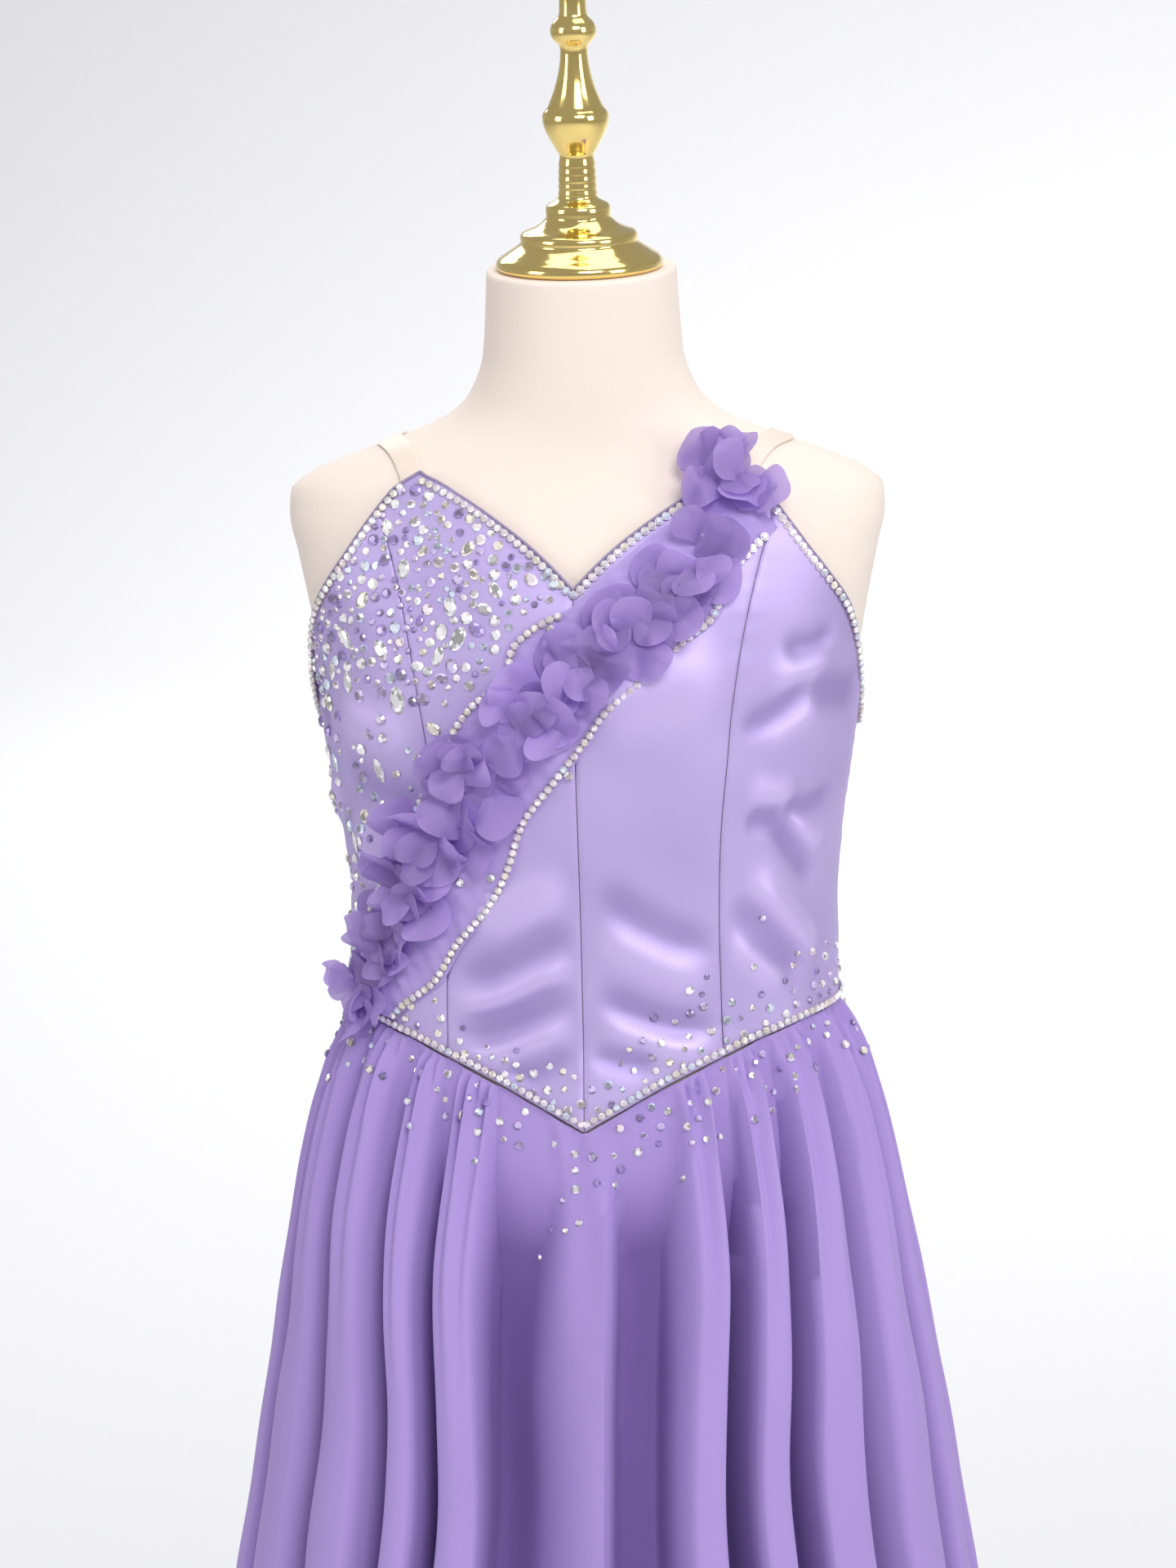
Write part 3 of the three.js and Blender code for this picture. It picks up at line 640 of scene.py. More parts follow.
# %% Stage and light
def set_stage():
    reach, bend, rise = 7.5, 1.5, 2.0

    def place(u, v):
        run = v * (reach + bend * math.pi / 2 + rise)
        angle = np.clip((run - reach) / bend, 0, math.pi / 2)
        away = np.minimum(run, reach) + bend * np.sin(angle)
        z = bend * (1 - np.cos(angle)) + np.clip(run - reach - bend * math.pi / 2, 0, None)
        return np.stack([away * np.cos(2 * math.pi * u), away * np.sin(2 * math.pi * u), z], -1) / MM

    paper = merge_doubles(lay("studio_paper", 96, 60, place))
    paint = Paint("pale_paper", (0.86, 0.86, 0.875), 0.9)
    grain = paint.noise(paint.coords(), 60, 2)
    paint.put("Base Color", paint.shades(grain, 0.99, 1.01))
    paper.data.materials.append(paint.material)
    select_only(paper)
    bpy.ops.object.shade_smooth()


def soft_box(name, place, aim, size, watts, colour=(1, 1, 1), spread=180):
    bpy.ops.object.light_add(type="AREA", location=place)
    lamp = bpy.context.object
    lamp.name = name
    lamp.rotation_euler = (Vector(place) - Vector(aim)).to_track_quat("Z", "Y").to_euler()
    lamp.data.shape = "RECTANGLE"
    lamp.data.size, lamp.data.size_y = size
    lamp.data.energy = watts
    lamp.data.color = colour
    lamp.data.spread = math.radians(spread)


set_stage()
soft_box("key", (1.0, -2.7, 3.1), (0, 0, 1.0), (1.6, 1.2), 60, (1, 0.99, 0.98))
soft_box("right", (2.4, -1.5, 2.0), (0, 0, 1.0), (1.0, 1.8), 20, (1, 0.99, 0.98))
soft_box("left", (-2.4, -1.5, 1.9), (0, 0, 1.0), (1.0, 1.8), 17, (1, 0.985, 0.97))
soft_box("top", (0.2, 0.2, 3.0), (0, 0.0, 1.0), (1.6, 1.2), 12)
soft_box("back", (-1.2, 2.9, 3.0), (0, 0, 0.9), (1.6, 1.2), 30)
soft_box("floor_wash", (0.9, 5.6, 5.0), (0.9, 6.2, 0), (5.0, 4.0), 140, spread=110)
world = bpy.context.scene.world or bpy.data.worlds.new("studio")
bpy.context.scene.world = world
world.use_nodes = True
world.node_tree.nodes["Background"].inputs["Color"].default_value = (0.93, 0.94, 0.97, 1)
world.node_tree.nodes["Background"].inputs["Strength"].default_value = 0.4

# %% [markdown]
# ## The dress form
# A limbless form is a padded shell under a tight linen cover. Its grid is wrapped round the body, the two
# edges that meet at the back are merged, and the open ends are filled. A Bevel modifier rounds the two rims,
# where the cover is pulled over the edge.

# %% Form
def dress_form():
    low, high = TORSO.columns["height"][0], TORSO.columns["height"][-1]
    form = lay("form_cover", 128, 120, lambda u, v: torso(360 * u - 180, lerp(low, high, v)))
    merge_doubles(form, fill=True)
    bevel = form.modifiers.new("Rim", "BEVEL")
    bevel.width, bevel.segments = 2.5 * MM, 4
    bevel.limit_method, bevel.angle_limit = "ANGLE", math.radians(40)
    apply_all(form)
    dress(form, linen, "linen", "dress_form")


dress_form()

# %% [markdown]
# ## The bodice
# Eight satin panels meet in princess, side and centre seams. Each panel is a grid between two seams, from the
# waist seam to the upper edge, with closer columns near the seams. There the satin turns in, which draws the
# thin dark line of a seam, and it puckers a little along the stitches. Across the panels run the soft
# diagonal creases of cloth that is a little loose on the body: a table has one row for each, with a minus for
# a trough. Every panel keeps on its points how far it stands off, and by that number its paint has painted
# shade in the troughs and a painted highlight on the ridges.

# %% Creases, as soft ridges and troughs
CREASES = [  # from turn and height, to turn and height, half width in mm, height in mm
    (43, 1134, 58, 1141, 6, -2), (35, 1093, 52, 1116, 7, -2.4), (50, 1115, 76, 1110, 9, -2.2),
    (40, 1120, 58, 1128, 9, 1.2), (38, 1086, 56, 1108, 8, 1), (48, 1049, 68, 1055, 6, -1.8),
    (37, 1062, 52, 1058, 8, 1.2), (38, 1046, 48, 1044, 6, -1.8), (46, 1046, 62, 1008, 6, -2.2),
    (50, 1046, 64, 1026, 7, 1.4), (40, 1017, 64, 968, 9, 2.2), (36, 1004, 58, 958, 8, -2.4),
    (34, 983, 52, 952, 9, 1.2), (4, 1013, 31, 975, 9, -2), (3, 989, 31, 957, 10, 1.2),
    (3, 956, 31, 932, 7, -2), (2, 940, 31, 919, 7, 1.2), (2, 921, 17, 915, 6, -1.4),
    (2, 1110, 30, 1128, 20, 1.6), (-28, 990, -2, 1018, 12, 1.5), (-30, 960, -2, 991, 9, -2.2),
    (-31, 941, -2, 973, 9, 1.8), (-31, 930, -2, 958, 9, -2.8), (-29, 916, -2, 941, 8, 1.5),
    (-20, 906, -2, 922, 7, -1.4), (-58, 1106, -34, 1090, 11, 1.3), (-60, 1072, -36, 1052, 11, -1.2),
    (-64, 1040, -44, 1022, 10, 1.3), (-64, 1090, -88, 1120, 8, -1.6), (-66, 1060, -90, 1030, 8, 1.4),
    (-70, 1010, -96, 980, 8, -1.5), (96, 1060, 128, 1018, 9, -1.9), (100, 1030, 134, 990, 9, 1.6),
    (98, 984, 130, 950, 8, -1.6), (138, 1090, 160, 1040, 9, 1.2), (150, 1010, 172, 968, 8, -1.6),
    (152, 986, 176, 946, 7, 1.3), (-98, 1070, -130, 1034, 9, -1.7), (-100, 1040, -136, 1000, 9, 1.5),
    (-102, 996, -132, 952, 8, -1.5), (-140, 1082, -164, 1050, 9, -1.3), (-148, 1000, -174, 960, 8, 1.5),
    (-150, 976, -172, 944, 7, -1.3),
]


CREASE_GAIN = 2.5  # what the table's heights are multiplied by
TROUGH_LIMIT = 3.2  # a trough stays clear of the form, which is EASE away
# The satin's painted shade and painted highlight grow with its standoff, as a share of this one.
DRAPE_OF_FULL_SHADE = 4  # how far the satin stands off where its paint is lightest or deepest
SATIN_RIPPLE = [(61, 20, 1, 0.25), (83, 110, 2, 0.3), (37, 65, 0, 0.12)]


def creases(turn, height):
    total = np.zeros_like(turn)
    for turn_a, height_a, turn_b, height_b, half, high in CREASES:
        scale = mm_a_degree((height_a + height_b) / 2)
        run = np.array([(turn_b - turn_a) * scale, height_b - height_a])
        length = np.hypot(*run)
        along = ((turn - turn_a) * scale * run[0] + (height - height_a) * run[1]) / length
        beside = ((turn - turn_a) * scale * run[1] - (height - height_a) * run[0]) / length
        bow = 0.06 * length * (1 - (2 * along / length - 1) ** 2)
        ends = smooth(along / (0.35 * length) + 0.15) * smooth((length - along) / (0.35 * length) + 0.15)
        total += CREASE_GAIN * high * np.exp(-(((beside - bow) / half) ** 2)) * ends
    return np.where(total < 0, TROUGH_LIMIT * np.tanh(total / TROUGH_LIMIT), total)


def drape(turn, height, from_side, from_edge):
    """How far loose satin stands off: creases that fade out at the seams and edges, and a slight ripple."""
    loose = creases(turn, height) * smooth(from_side / 10 + 0.25) * smooth(from_edge / 12)
    return loose + ripple(turn * BODICE_DEGREE, height, SATIN_RIPPLE)


def satin_face(turn, height):
    """The outer face of the satin at any place on the bodice."""
    turn, height = np.asarray(turn, float), np.asarray(height, float)
    seams = (0, FRONT_SEAM.read("turn", height), 90, BACK_SEAM.read("turn", height))
    from_side = np.min([np.abs(np.abs(turn) - seam) for seam in seams], axis=0) * mm_a_degree(height)
    from_edge = np.minimum(height - waist_seam(turn), upper_edge(turn) - height)
    return bodice(turn, height, SATIN_WALL + LIFT + drape(turn, height, from_side, from_edge))


# %% Panels between two seams
def crowded(count):
    """Shares from 0 to 1 that lie closer near both ends."""
    t = np.linspace(0, 1, count + 1)
    return 0.45 * t + 0.55 * (1 - np.cos(math.pi * t)) / 2


def level(turn):
    """A seam that stays at one turn."""
    return lambda height: turn + 0 * height


def front_seam(height):
    return FRONT_SEAM.read("turn", height)


def back_seam(height):
    return BACK_SEAM.read("turn", height)


def mirrored(seam):
    return lambda height: -seam(height)


PANELS = [  # name, the seam before it and the one behind it, columns, rows
    ("front", level(0), front_seam, 35, 110), ("side_front", front_seam, level(90), 46, 96),
    ("side_back", level(90), back_seam, 46, 64), ("back", back_seam, level(180), 28, 64),
]


def panel(name, from_seam, to_seam, shares, rows):
    depths = []

    def seam_turns(height):
        half = SEAM_GAP / 2 / mm_a_degree(height)
        return from_seam(height) + half, to_seam(height) - half

    def meet(edge, share):
        height = np.full_like(share, 1000.0)
        for _ in range(24):
            height = edge(lerp(*seam_turns(height), share))
        return height

    ups = crowded(rows)

    def place(u, v):
        share = shares[np.round(u * (len(shares) - 1)).astype(int)]
        low, high = meet(waist_seam, share), meet(upper_edge, share)
        height = lerp(low, high, ups[np.round(v * rows).astype(int)])
        start, end = seam_turns(height)
        turn = lerp(start, end, share)
        from_side = np.minimum(share, 1 - share) * (end - start) * mm_a_degree(height)
        from_edge = np.minimum(height - low, high - height)
        pucker = 0.28 * np.sin(height / 1.9 + 3 * np.sin(height / 17)) * np.exp(-from_side / 5)
        pucker *= smooth(from_side / 1.5)
        roll = 0.8 * np.exp(-((from_side / 1.0) ** 2)) + 0.5 * np.exp(-((from_edge / 1.2) ** 2))
        loose = drape(turn, height, from_side, from_edge)
        # Kept for the paint, which puts painted shade in the troughs and a painted highlight on the ridges.
        depths.append(np.clip(loose / DRAPE_OF_FULL_SHADE, -1, 0.5))
        return bodice(turn, height, SATIN_WALL + LIFT + loose + pucker - roll)

    piece = lay("bodice_" + name, len(shares) - 1, rows, place)
    keep(piece, "drape", depths[0])
    return dress(thicken(piece, CLOTH["satin"]), satin, "satin", name)


def bodice_panels():
    panels = []
    for name, before, behind, columns, rows in PANELS:
        left = right = crowded(columns)
        if name == "front":
            # The strap's tip gets a column of its own.
            left = np.sort(np.append(left, TIP / front_seam(NECKLINE.columns["height"][-1])))
            right = np.sort(1 - left)
        panels.append(panel(name + "_left", before, behind, left, rows))
        panels.append(panel(name + "_right", mirrored(behind), mirrored(before), right, rows))
    for piece in panels:
        declare(piece)


bodice_panels()

# %% [markdown]
# ## The closure
# Hooks and eyes down the centre back are covered by one lapped strip. It is a narrow grid with a row of
# topstitch dents near both edges.

# %% Placket
LAP = {"half_width": 11, "above": 1.5, "stitch": 3, "stitch_in": 2.2}


def placket():
    low, high = waist_seam(180) + 2 * CHAIN["inset"], upper_edge(180)

    def place(u, v):
        height = lerp(low, high, v)
        across = (u - 0.5) * 2 * LAP["half_width"]
        edge = LAP["half_width"] - np.abs(across)
        stitch = 0.5 + 0.5 * np.sin(height * 2 * math.pi / LAP["stitch"])
        stitch = 0.25 * np.exp(-(((edge - LAP["stitch_in"]) / 0.6) ** 2)) * stitch
        out = SATIN_WALL + SEAM_GAP + LAP["above"] - 0.7 * np.exp(-((edge / 0.8) ** 2)) - stitch
        return bodice(180 + across / mm_a_degree(height), height, out)

    strip = thicken(lay("back_lap", 24, 200, place), CLOTH["lap"])
    dress(strip, satin, "satin", "back_placket")
    declare(strip)


placket()

# %% [markdown]
# ## The straps
# A strap of skin-coloured elastic runs over each shoulder and is sewn inside the bodice's two tips. It is
# laid by rays round the shoulder's own centre line, so it follows the slope of the shoulder without sliding
# off it.

# %% Straps
STRAP_WAY = Table("angle across above", [
    (47, 82, 1.1), (58, 88, 0.8), (90, 104, 0.5), (130, 99, 0.5), (185, 79, 0.8), (202, 73, 1.1),
])


def straps():
    start, end = STRAP_WAY.columns["angle"][[0, -1]]
    for name, side in (("strap_left", 1), ("strap_right", -1)):
        def place(u, v):
            angle = lerp(start, end, v)
            across = side * STRAP_WAY.read("across", angle) + (u - 0.5) * STRAP["width"]
            edge = 0.25 * np.exp(-((np.minimum(u, 1 - u) * STRAP["width"] / 0.9) ** 2))
            above = STRAP_WAY.read("above", angle) + STRAP["wall"] - edge
            return shoulder(across, angle) + way_out(shoulder, across, angle) * above[..., None]

        strap = thicken(lay("elastic_" + name, 12, 110, place), CLOTH["elastic"])
        dress(strap, elastic, "elastic", name)
        declare(strap)


straps()

# %% [markdown]
# ## The flower band
# A band of crinkled chiffon runs from the left strap across the front to the right side of the waist. Its two
# edges wave, each along its own table, and the cloth between them is gathered a little, so fine crinkles run
# from one edge to the other.

# %% Band
BAND_UPPER = np.array([
    (30, 1213), (17, 1196), (7, 1175), (0, 1158), (-7, 1151), (-13, 1139), (-15, 1122), (-22, 1110),
    (-28, 1091), (-33, 1070), (-39, 1050), (-46, 1030), (-54, 1003), (-63, 980), (-72, 960), (-78, 942),
], float)
BAND_LOWER = np.array([
    (38.5, 1194), (34, 1182), (30, 1170), (28.5, 1152), (22, 1137), (15, 1120), (8, 1106), (3, 1088),
    (-4, 1067), (-11, 1046), (-15, 1020), (-20, 999), (-28, 978), (-34, 957), (-43, 943), (-48, 934),
], float)


BAND_RIPPLE = [(9, 35, 0, 0.22), (14, 75, 1, 0.25), (23, 10, 2, 0.3), (6.5, 120, 4, 0.14)]
BAND_WIDE = 45  # about how wide the band is


def along_points(points, share):
    """A smooth way through points (a Catmull-Rom spline), read by the share of the way."""
    at = np.clip(share, 0, 1) * (len(points) - 1)
    i = np.clip(np.floor(at).astype(int), 0, len(points) - 2)
    t = (at - i)[..., None]
    padded = np.vstack([2 * points[0] - points[1], points, 2 * points[-1] - points[-2]])
    a, b, c, d = (padded[i + k] for k in range(4))
    return 0.5 * (2 * b + (c - a) * t + (2 * a - 5 * b + 4 * c - d) * t**2 + (3 * b - a - 3 * c + d) * t**3)


def on_band(along, across):
    """The turn and height of a place on the band, by its shares of the way along and across."""
    upper, lower = along_points(BAND_UPPER, along), along_points(BAND_LOWER, along)
    place = lerp(upper, lower, np.asarray(across)[..., None])
    return place[..., 0], place[..., 1]


def band():
    def place(u, v):
        turn, height = on_band(1 - u, 1 - v)
        crinkle = 0.3 * np.sin(u * 230 + 3 * np.sin(v * 5 + u * 31)) * np.sin(v * math.pi)
        crinkle += ripple(turn * BODICE_DEGREE, height, BAND_RIPPLE)
        edge = np.minimum(v, 1 - v) * BAND_WIDE
        out = BAND_BASE + BAND_WALL + LIFT + crinkle * smooth(edge / 4) - 0.6 * np.exp(-(edge**2))
        return bodice(turn, height, out)

    piece = lay("flower_band", 260, 44, place)
    with editing(piece):
        bpy.ops.mesh.normals_make_consistent(inside=False)
    thicken(piece, CLOTH["chiffon"])
    dress(piece, band_chiffon, "chiffon", "band")
    declare(piece)


band()

# %% [markdown]
# ## The skirt
# The chiffon is gathered into the waist seam. Just under it are many small gathers, which run into about two
# dozen deep folds. A fold is the stretch between two valleys. Each valley has a floor, a fall before it and a
# rise after it, with widths of their own from a table, so one side of a fold can be steep and the other
# gentle, as in hanging cloth. The crest between them is slightly crowned. The valleys lean a little on their
# way down, and both their depths and the widths between them are uneven. Each point keeps how far it lies
# behind the crests, and by that number the paint puts painted shade in the valleys.

# %% Skirt
PLEATS = {"columns": 30, "rows": 100}
CROWN = 0.16
GATHER = 2.6  # how high the small gathers under the waist seam are
# The skirt's painted shade is full at this depth behind the crests.
FULL_VALLEY_SHADE = 30  # how far behind the crests the paint is deepest
SKIRT_RIPPLE = [(190, 80, 1, 0.9), (130, 60, 3, 0.7), (75, 115, 0, 0.35)]


def folded_skirt(turn, height):
    """A place on the skirt, and how many millimetres it lies behind the crests of the folds."""
    turn, height = np.broadcast_arrays(np.asarray(turn, float), np.asarray(height, float))
    turn = (turn + 180) % 360 - 180
    top = waist_seam(turn) - 2 * SEAM_GAP
    drop = np.maximum(0, top - height)
    fold = FOLDS.columns
    k = np.clip(np.searchsorted(fold["turn"], turn, side="right") - 1, 0, len(fold["turn"]) - 2)
    from_last, to_next = turn - fold["turn"][k], fold["turn"][k + 1] - turn
    share = np.clip(from_last / (from_last + to_next), 0, 1)
    rise = smooth((from_last - fold["after"][k]) / fold["rise"][k])
    fall = smooth((to_next - fold["before"][k + 1]) / fold["fall"][k + 1])
    crest = np.minimum(rise, fall) * (1 - CROWN * (1 - np.sin(math.pi * share)))
    deep = lerp(fold["deep"][k], fold["deep"][k + 1], share) * FOLD_DEPTH * DEEPENING.read("share", drop)
    # On their way down, the folds draw together in front, and their valleys lean to one side.
    to_front = np.where(np.abs(turn) < 90, turn * (1 - (turn / 90) ** 2), 0)
    lean = lerp(fold["lean"][k], fold["lean"][k + 1], smooth(2 * share - 0.5)) * (1 - crest)
    swayed = turn - 0.2 * to_front * smooth((drop - 30) / 220) + 3 * lean * smooth(drop / 150)
    sewn = bodice(turn, top, SATIN_WALL) - section_point(SKIRT, turn, top)
    point = section_point(SKIRT, swayed, height) + sewn * (1 - smooth(drop / LET_OUT))[..., None]
    reach = np.linalg.norm(point[..., :2], axis=-1)
    form_end = TORSO.columns["height"][0] + 3
    under = np.linalg.norm(torso(swayed, np.maximum(height, form_end))[..., :2], axis=-1)
    room = reach - under - 3.5 + np.maximum(0, form_end - height)
    fine = np.cos(10 * math.pi * share + 2.1 * k) * smooth(drop / 5) * (1 - smooth(drop / 60))
    soft = np.cos(6 * math.pi * share + 1.3 * k) * smooth(drop / 15) * (1 - smooth((drop - 30) / 170))
    gathers = GATHER * (fine + soft) * np.sin(math.pi * share) ** 0.5
    slack = ripple(swayed * SKIRT_DEGREE, height, SKIRT_RIPPLE) * smooth(drop / 200)
    inward = np.minimum(deep * (1 - crest) + gathers - slack, room)
    flat = point[..., :2] * (1 - inward / reach)[..., None]
    return np.concatenate([flat, height[..., None]], -1), inward


def skirt(turn, height):
    return folded_skirt(turn, height)[0]


def skirt_half(name, node, start, end):
    valleys = FOLDS.columns["turn"]
    twice_round = np.concatenate([valleys, valleys[1:] + 360])
    ring = twice_round[(twice_round >= start) & (twice_round <= end)]
    columns = PLEATS["columns"] * (len(ring) - 1)
    even, pleat = np.linspace(0, 1, PLEATS["columns"] + 1), crowded(PLEATS["columns"])
    valley_shades = []

    def place(u, v):
        at = u * (len(ring) - 1)
        fold = np.minimum(np.floor(at + 1e-6), len(ring) - 2)
        turn = np.interp(fold + np.interp(at - fold, even, pleat), range(len(ring)), ring)
        drop = (1 - v) ** 1.35
        hem = HEM + 2.5 * np.sin(np.radians(turn) * 4 + 1)
        height = lerp(waist_seam((turn + 180) % 360 - 180) - 2 * SEAM_GAP, hem, drop)
        gap = SEAM_GAP / 2 / (SKIRT.read("half", height) * math.pi / 180)
        laid, inward = folded_skirt(np.clip(turn, start + gap, end - gap), height)
        # How strong the painted shade in the valleys is at each point.
        valley_shades.append(np.clip(inward / FULL_VALLEY_SHADE, 0, 1))
        return laid

    piece = lay(name, columns, PLEATS["rows"], place)
    keep(piece, "valley_shade", valley_shades[0])
    thicken(piece, CLOTH["chiffon"])
    dress(piece, lilac_chiffon, "chiffon", node, crease=60)
    declare(piece)


# %% [markdown]
# ## Crystal chain
# Cup chain is a row of set stones, each joined to the next by a short link. One stone and one cup are
# modelled, and copied along each edge, every copy turned to the cloth under it. The copies of a chain are one
# mesh.

# %% One stone, one cup
def gem_template(sides, tiers):
    """A cut stone of radius 1 on a flat back: tiers pulled up and in, closed by a flat table."""
    gem = turned("gem_template", [(1, 0), *tiers], sides, scale=1)
    points = np.array([v.co[:] for v in gem.data.vertices])
    faces = [tuple(p.vertices) for p in gem.data.polygons]
    bpy.data.objects.remove(gem)
    # Extruding leaves the side facets in any order. They are put in one mixed order, the same in each run.
    facets = sorted(face for face in faces if len(face) == 4)
    random.Random("facets").shuffle(facets)
    return points, [face if len(face) > 4 else facets.pop() for face in faces]


ROUND_STONE = gem_template(8, [(1, 0.3), (0.58, 0.85)])
LARGE_STONE = gem_template(12, [(1, 0.14), (0.8, 0.42), (0.5, 0.6)])
CUP = gem_template(8, [(1, 1)])
# Painted reflection: each facet gets its own strength of the stone's tint, as if it mirrored a brighter or
# darker part of the room.
PAINTED_FACET_LIGHT = np.array([1.15, 0.5, 1, 0.25, 1.1, 0.6, 0.9, 0.35, 1.2, 0.75, 0.2])
print("faces of a stone:", len(ROUND_STONE[1]), "and of a large one:", len(LARGE_STONE[1]))


def sized(axes, *lengths):
    return axes * np.array(lengths, float)[:, None]


def copies(name, template, places, tints=None, least_facet_light=0.3):
    """One mesh of copies. A place is an origin and three axes, each axis as long as the stone is that way."""
    points, faces = template
    all_points = np.concatenate([origin + points @ axes for origin, axes in places]) * MM
    count = len(points)
    all_faces = [tuple(i + k * count for i in face) for k in range(len(places)) for face in faces]
    mesh = bpy.data.meshes.new(name)
    mesh.from_pydata(all_points.tolist(), [], all_faces)
    if tints is not None:
        corners = [len(face) for face in faces]
        colours = np.repeat(np.array(tints, float), len(faces), axis=0)
        # Painted reflection: each facet's tint is made lighter or darker, but never below a least strength.
        strength = PAINTED_FACET_LIGHT[np.arange(len(colours)) * 7 % len(PAINTED_FACET_LIGHT)]
        colours[:, :3] *= np.maximum(strength, least_facet_light)[:, None]
        attribute = mesh.attributes.new("tint", "FLOAT_COLOR", "CORNER")
        attribute.data.foreach_set("color", np.repeat(colours, corners * len(places), axis=0).ravel())
    piece = bpy.data.objects.new(name, mesh)
    bpy.context.collection.objects.link(piece)
    return piece


# %% Chains along the edges
CLEAR, ICE = (0.96, 0.95, 0.98, 1), (0.70, 0.80, 0.98, 1)
LILAC, VIOLET = (0.66, 0.55, 0.92, 1), (0.30, 0.20, 0.62, 1)
ROSE, CHAMPAGNE = (0.97, 0.84, 0.90, 1), (0.95, 0.91, 0.78, 1)


def inside_of(edge, turn, inset):
    """Places that lie so many millimetres below an edge, measured square to it."""
    step = 0.5
    along = 2 * step * mm_a_degree(edge(turn))
    rise = edge(turn + step) - edge(turn - step)
    away = inset / np.hypot(along, rise)
    return turn + away * rise / mm_a_degree(edge(turn)), edge(turn) - away * along


def chain(name, node, turns, heights, layer):
    """A chain through places on the bodice, on a layer so many millimetres from the bodice's inside."""
    base = layer + CHAIN["clear"]
    path = bodice(turns, heights, base)
    steps = np.concatenate([[0], np.cumsum(np.linalg.norm(np.diff(path, axis=0), axis=1))])
    count = int(steps[-1] / CHAIN["pitch"])
    at = np.linspace(0, steps[-1], count + 1)
    turn, height = np.interp(at, steps, turns), np.interp(at, steps, heights)
    origin = bodice(turn, height, base)
    out = way_out(torso, turn, height)
    way = unit(np.gradient(origin, axis=0))
    side = unit(np.cross(out, way))
    way = np.cross(side, out)
    axes = np.stack([way, side, out], 1)
    stone, cup, half_way = CHAIN["stone"], CHAIN["stone"] + CHAIN["rim"], CHAIN["pitch"] / 2
    cups, stones, links = [], [], []
    for o, a in zip(origin, axes):
        cups.append((o, sized(a, cup, cup, CHAIN["cup_high"])))
        stones.append((o + a[2] * CHAIN["seat"], sized(a, stone, stone, CHAIN["stone_high"])))
        links.append((o + a[0] * half_way, sized(a, half_way, CHAIN["link_wide"], CHAIN["link_high"])))
    setting = copies(name + "_setting", CUP, cups + links[:-1])
    dice = random.Random(name)
    tints = [dice.choice([CLEAR, CLEAR, CLEAR, ROSE, CHAMPAGNE, ICE]) for _ in stones]
    gems = copies(name, ROUND_STONE, stones, tints, least_facet_light=0.75)
    dress(setting, silver, "crystals")
    dress(gems, crystal, "crystals", node, crease=5)
    print(name, count + 1, "stones")


def piping(name, start, end):
    """A covered cord along the bodice's upper edge, from one turn to another."""
    def place(u, v):
        turn = lerp(start, end, v)
        height = upper_edge(turn)
        centre = bodice(turn, height, SATIN_WALL + 0.2)
        out = way_out(torso, turn, height)
        ahead, behind = (bodice(turn + step, upper_edge(turn + step), 0) for step in (0.2, -0.2))
        side = np.cross(unit(ahead - behind), out)
        angle = 2 * math.pi * u
        return centre + PIPING * (np.cos(angle)[:, None] * out + np.sin(angle)[:, None] * side)

    cord = merge_doubles(lay(name, 8, 400, place), fill=True)
    dress(cord, thread, "satin")


def chains():
    piping("piping_of_neckline", -TIP, TIP)
    piping("piping_of_left_armhole", TIP, 179.5)
    piping("piping_of_right_armhole", -TIP, -179.5)
    turns = np.linspace(-179.3, 179.3, 500)
    chain("chain_of_waist", "chain_waist", *inside_of(waist_seam, turns, -CHAIN["inset"]), SATIN_WALL)
    for name, start, end in (("neckline", -30, 19), ("armhole_left", 39, 148), ("armhole_right", -35, -148)):
        turns = np.linspace(start, end, 240)
        places = inside_of(upper_edge, turns, CHAIN["inset"])
        chain("chain_of_" + name, "chain_" + name, *places, SATIN_WALL)
    for name, across, start, end in (("band_upper", 0.05, 0.24, 0.985), ("band_lower", 0.95, 0.03, 0.985)):
        share = np.linspace(start, end, 400)
        chain("chain_of_" + name, "chain_" + name, *on_band(share, 0 * share + across), BAND_BASE + BAND_WALL)


chains()
skirt_half("skirt_front_panel", "skirt_front", -90, 90)
skirt_half("skirt_back_panel", "skirt_back", 90, 270)

# %% [markdown]
# ## The flowers
# Each flower is made of round chiffon petals. A petal is pinched at its root, where it is sewn to the heart
# of the flower, so it keeps a soft crease from root to rim, and its rim has more cloth than room and waves.
# The outer petals lie nearly flat and reach over the next flower's. The inner ones are smaller and stand up.
# The grid becomes a petal when its width is bent into a circle, and no two petals get the same numbers.

# %% Flowers
FLOWERS = [  # turn, height, reach
    (29, 1215, 25), (22.6, 1179, 25), (13.8, 1150, 25), (2, 1129, 25), (-9.6, 1102, 26),
    (-22, 1071, 26), (-32, 1037, 25), (-40.4, 1006, 24), (-50, 977, 23), (-60.5, 946, 21),
]
WAVES = ((2, 0.4, 1.3), (3, 0.5, 1.7), (5, 0.2, 0.8))  # of a rim: how many, and from how low to how high
# Each ring, the outer one first: how many petals, their share of the reach, their rise, their foot's height.
RINGS = ((5, 1.05, 0.1, 0), (4, 0.92, 0.35, 0.8), (3, 0.75, 0.7, 1.4))
ANY_ANGLE = 6.3
ASTRAY = 9  # how far from the flower's heart a petal may be sewn


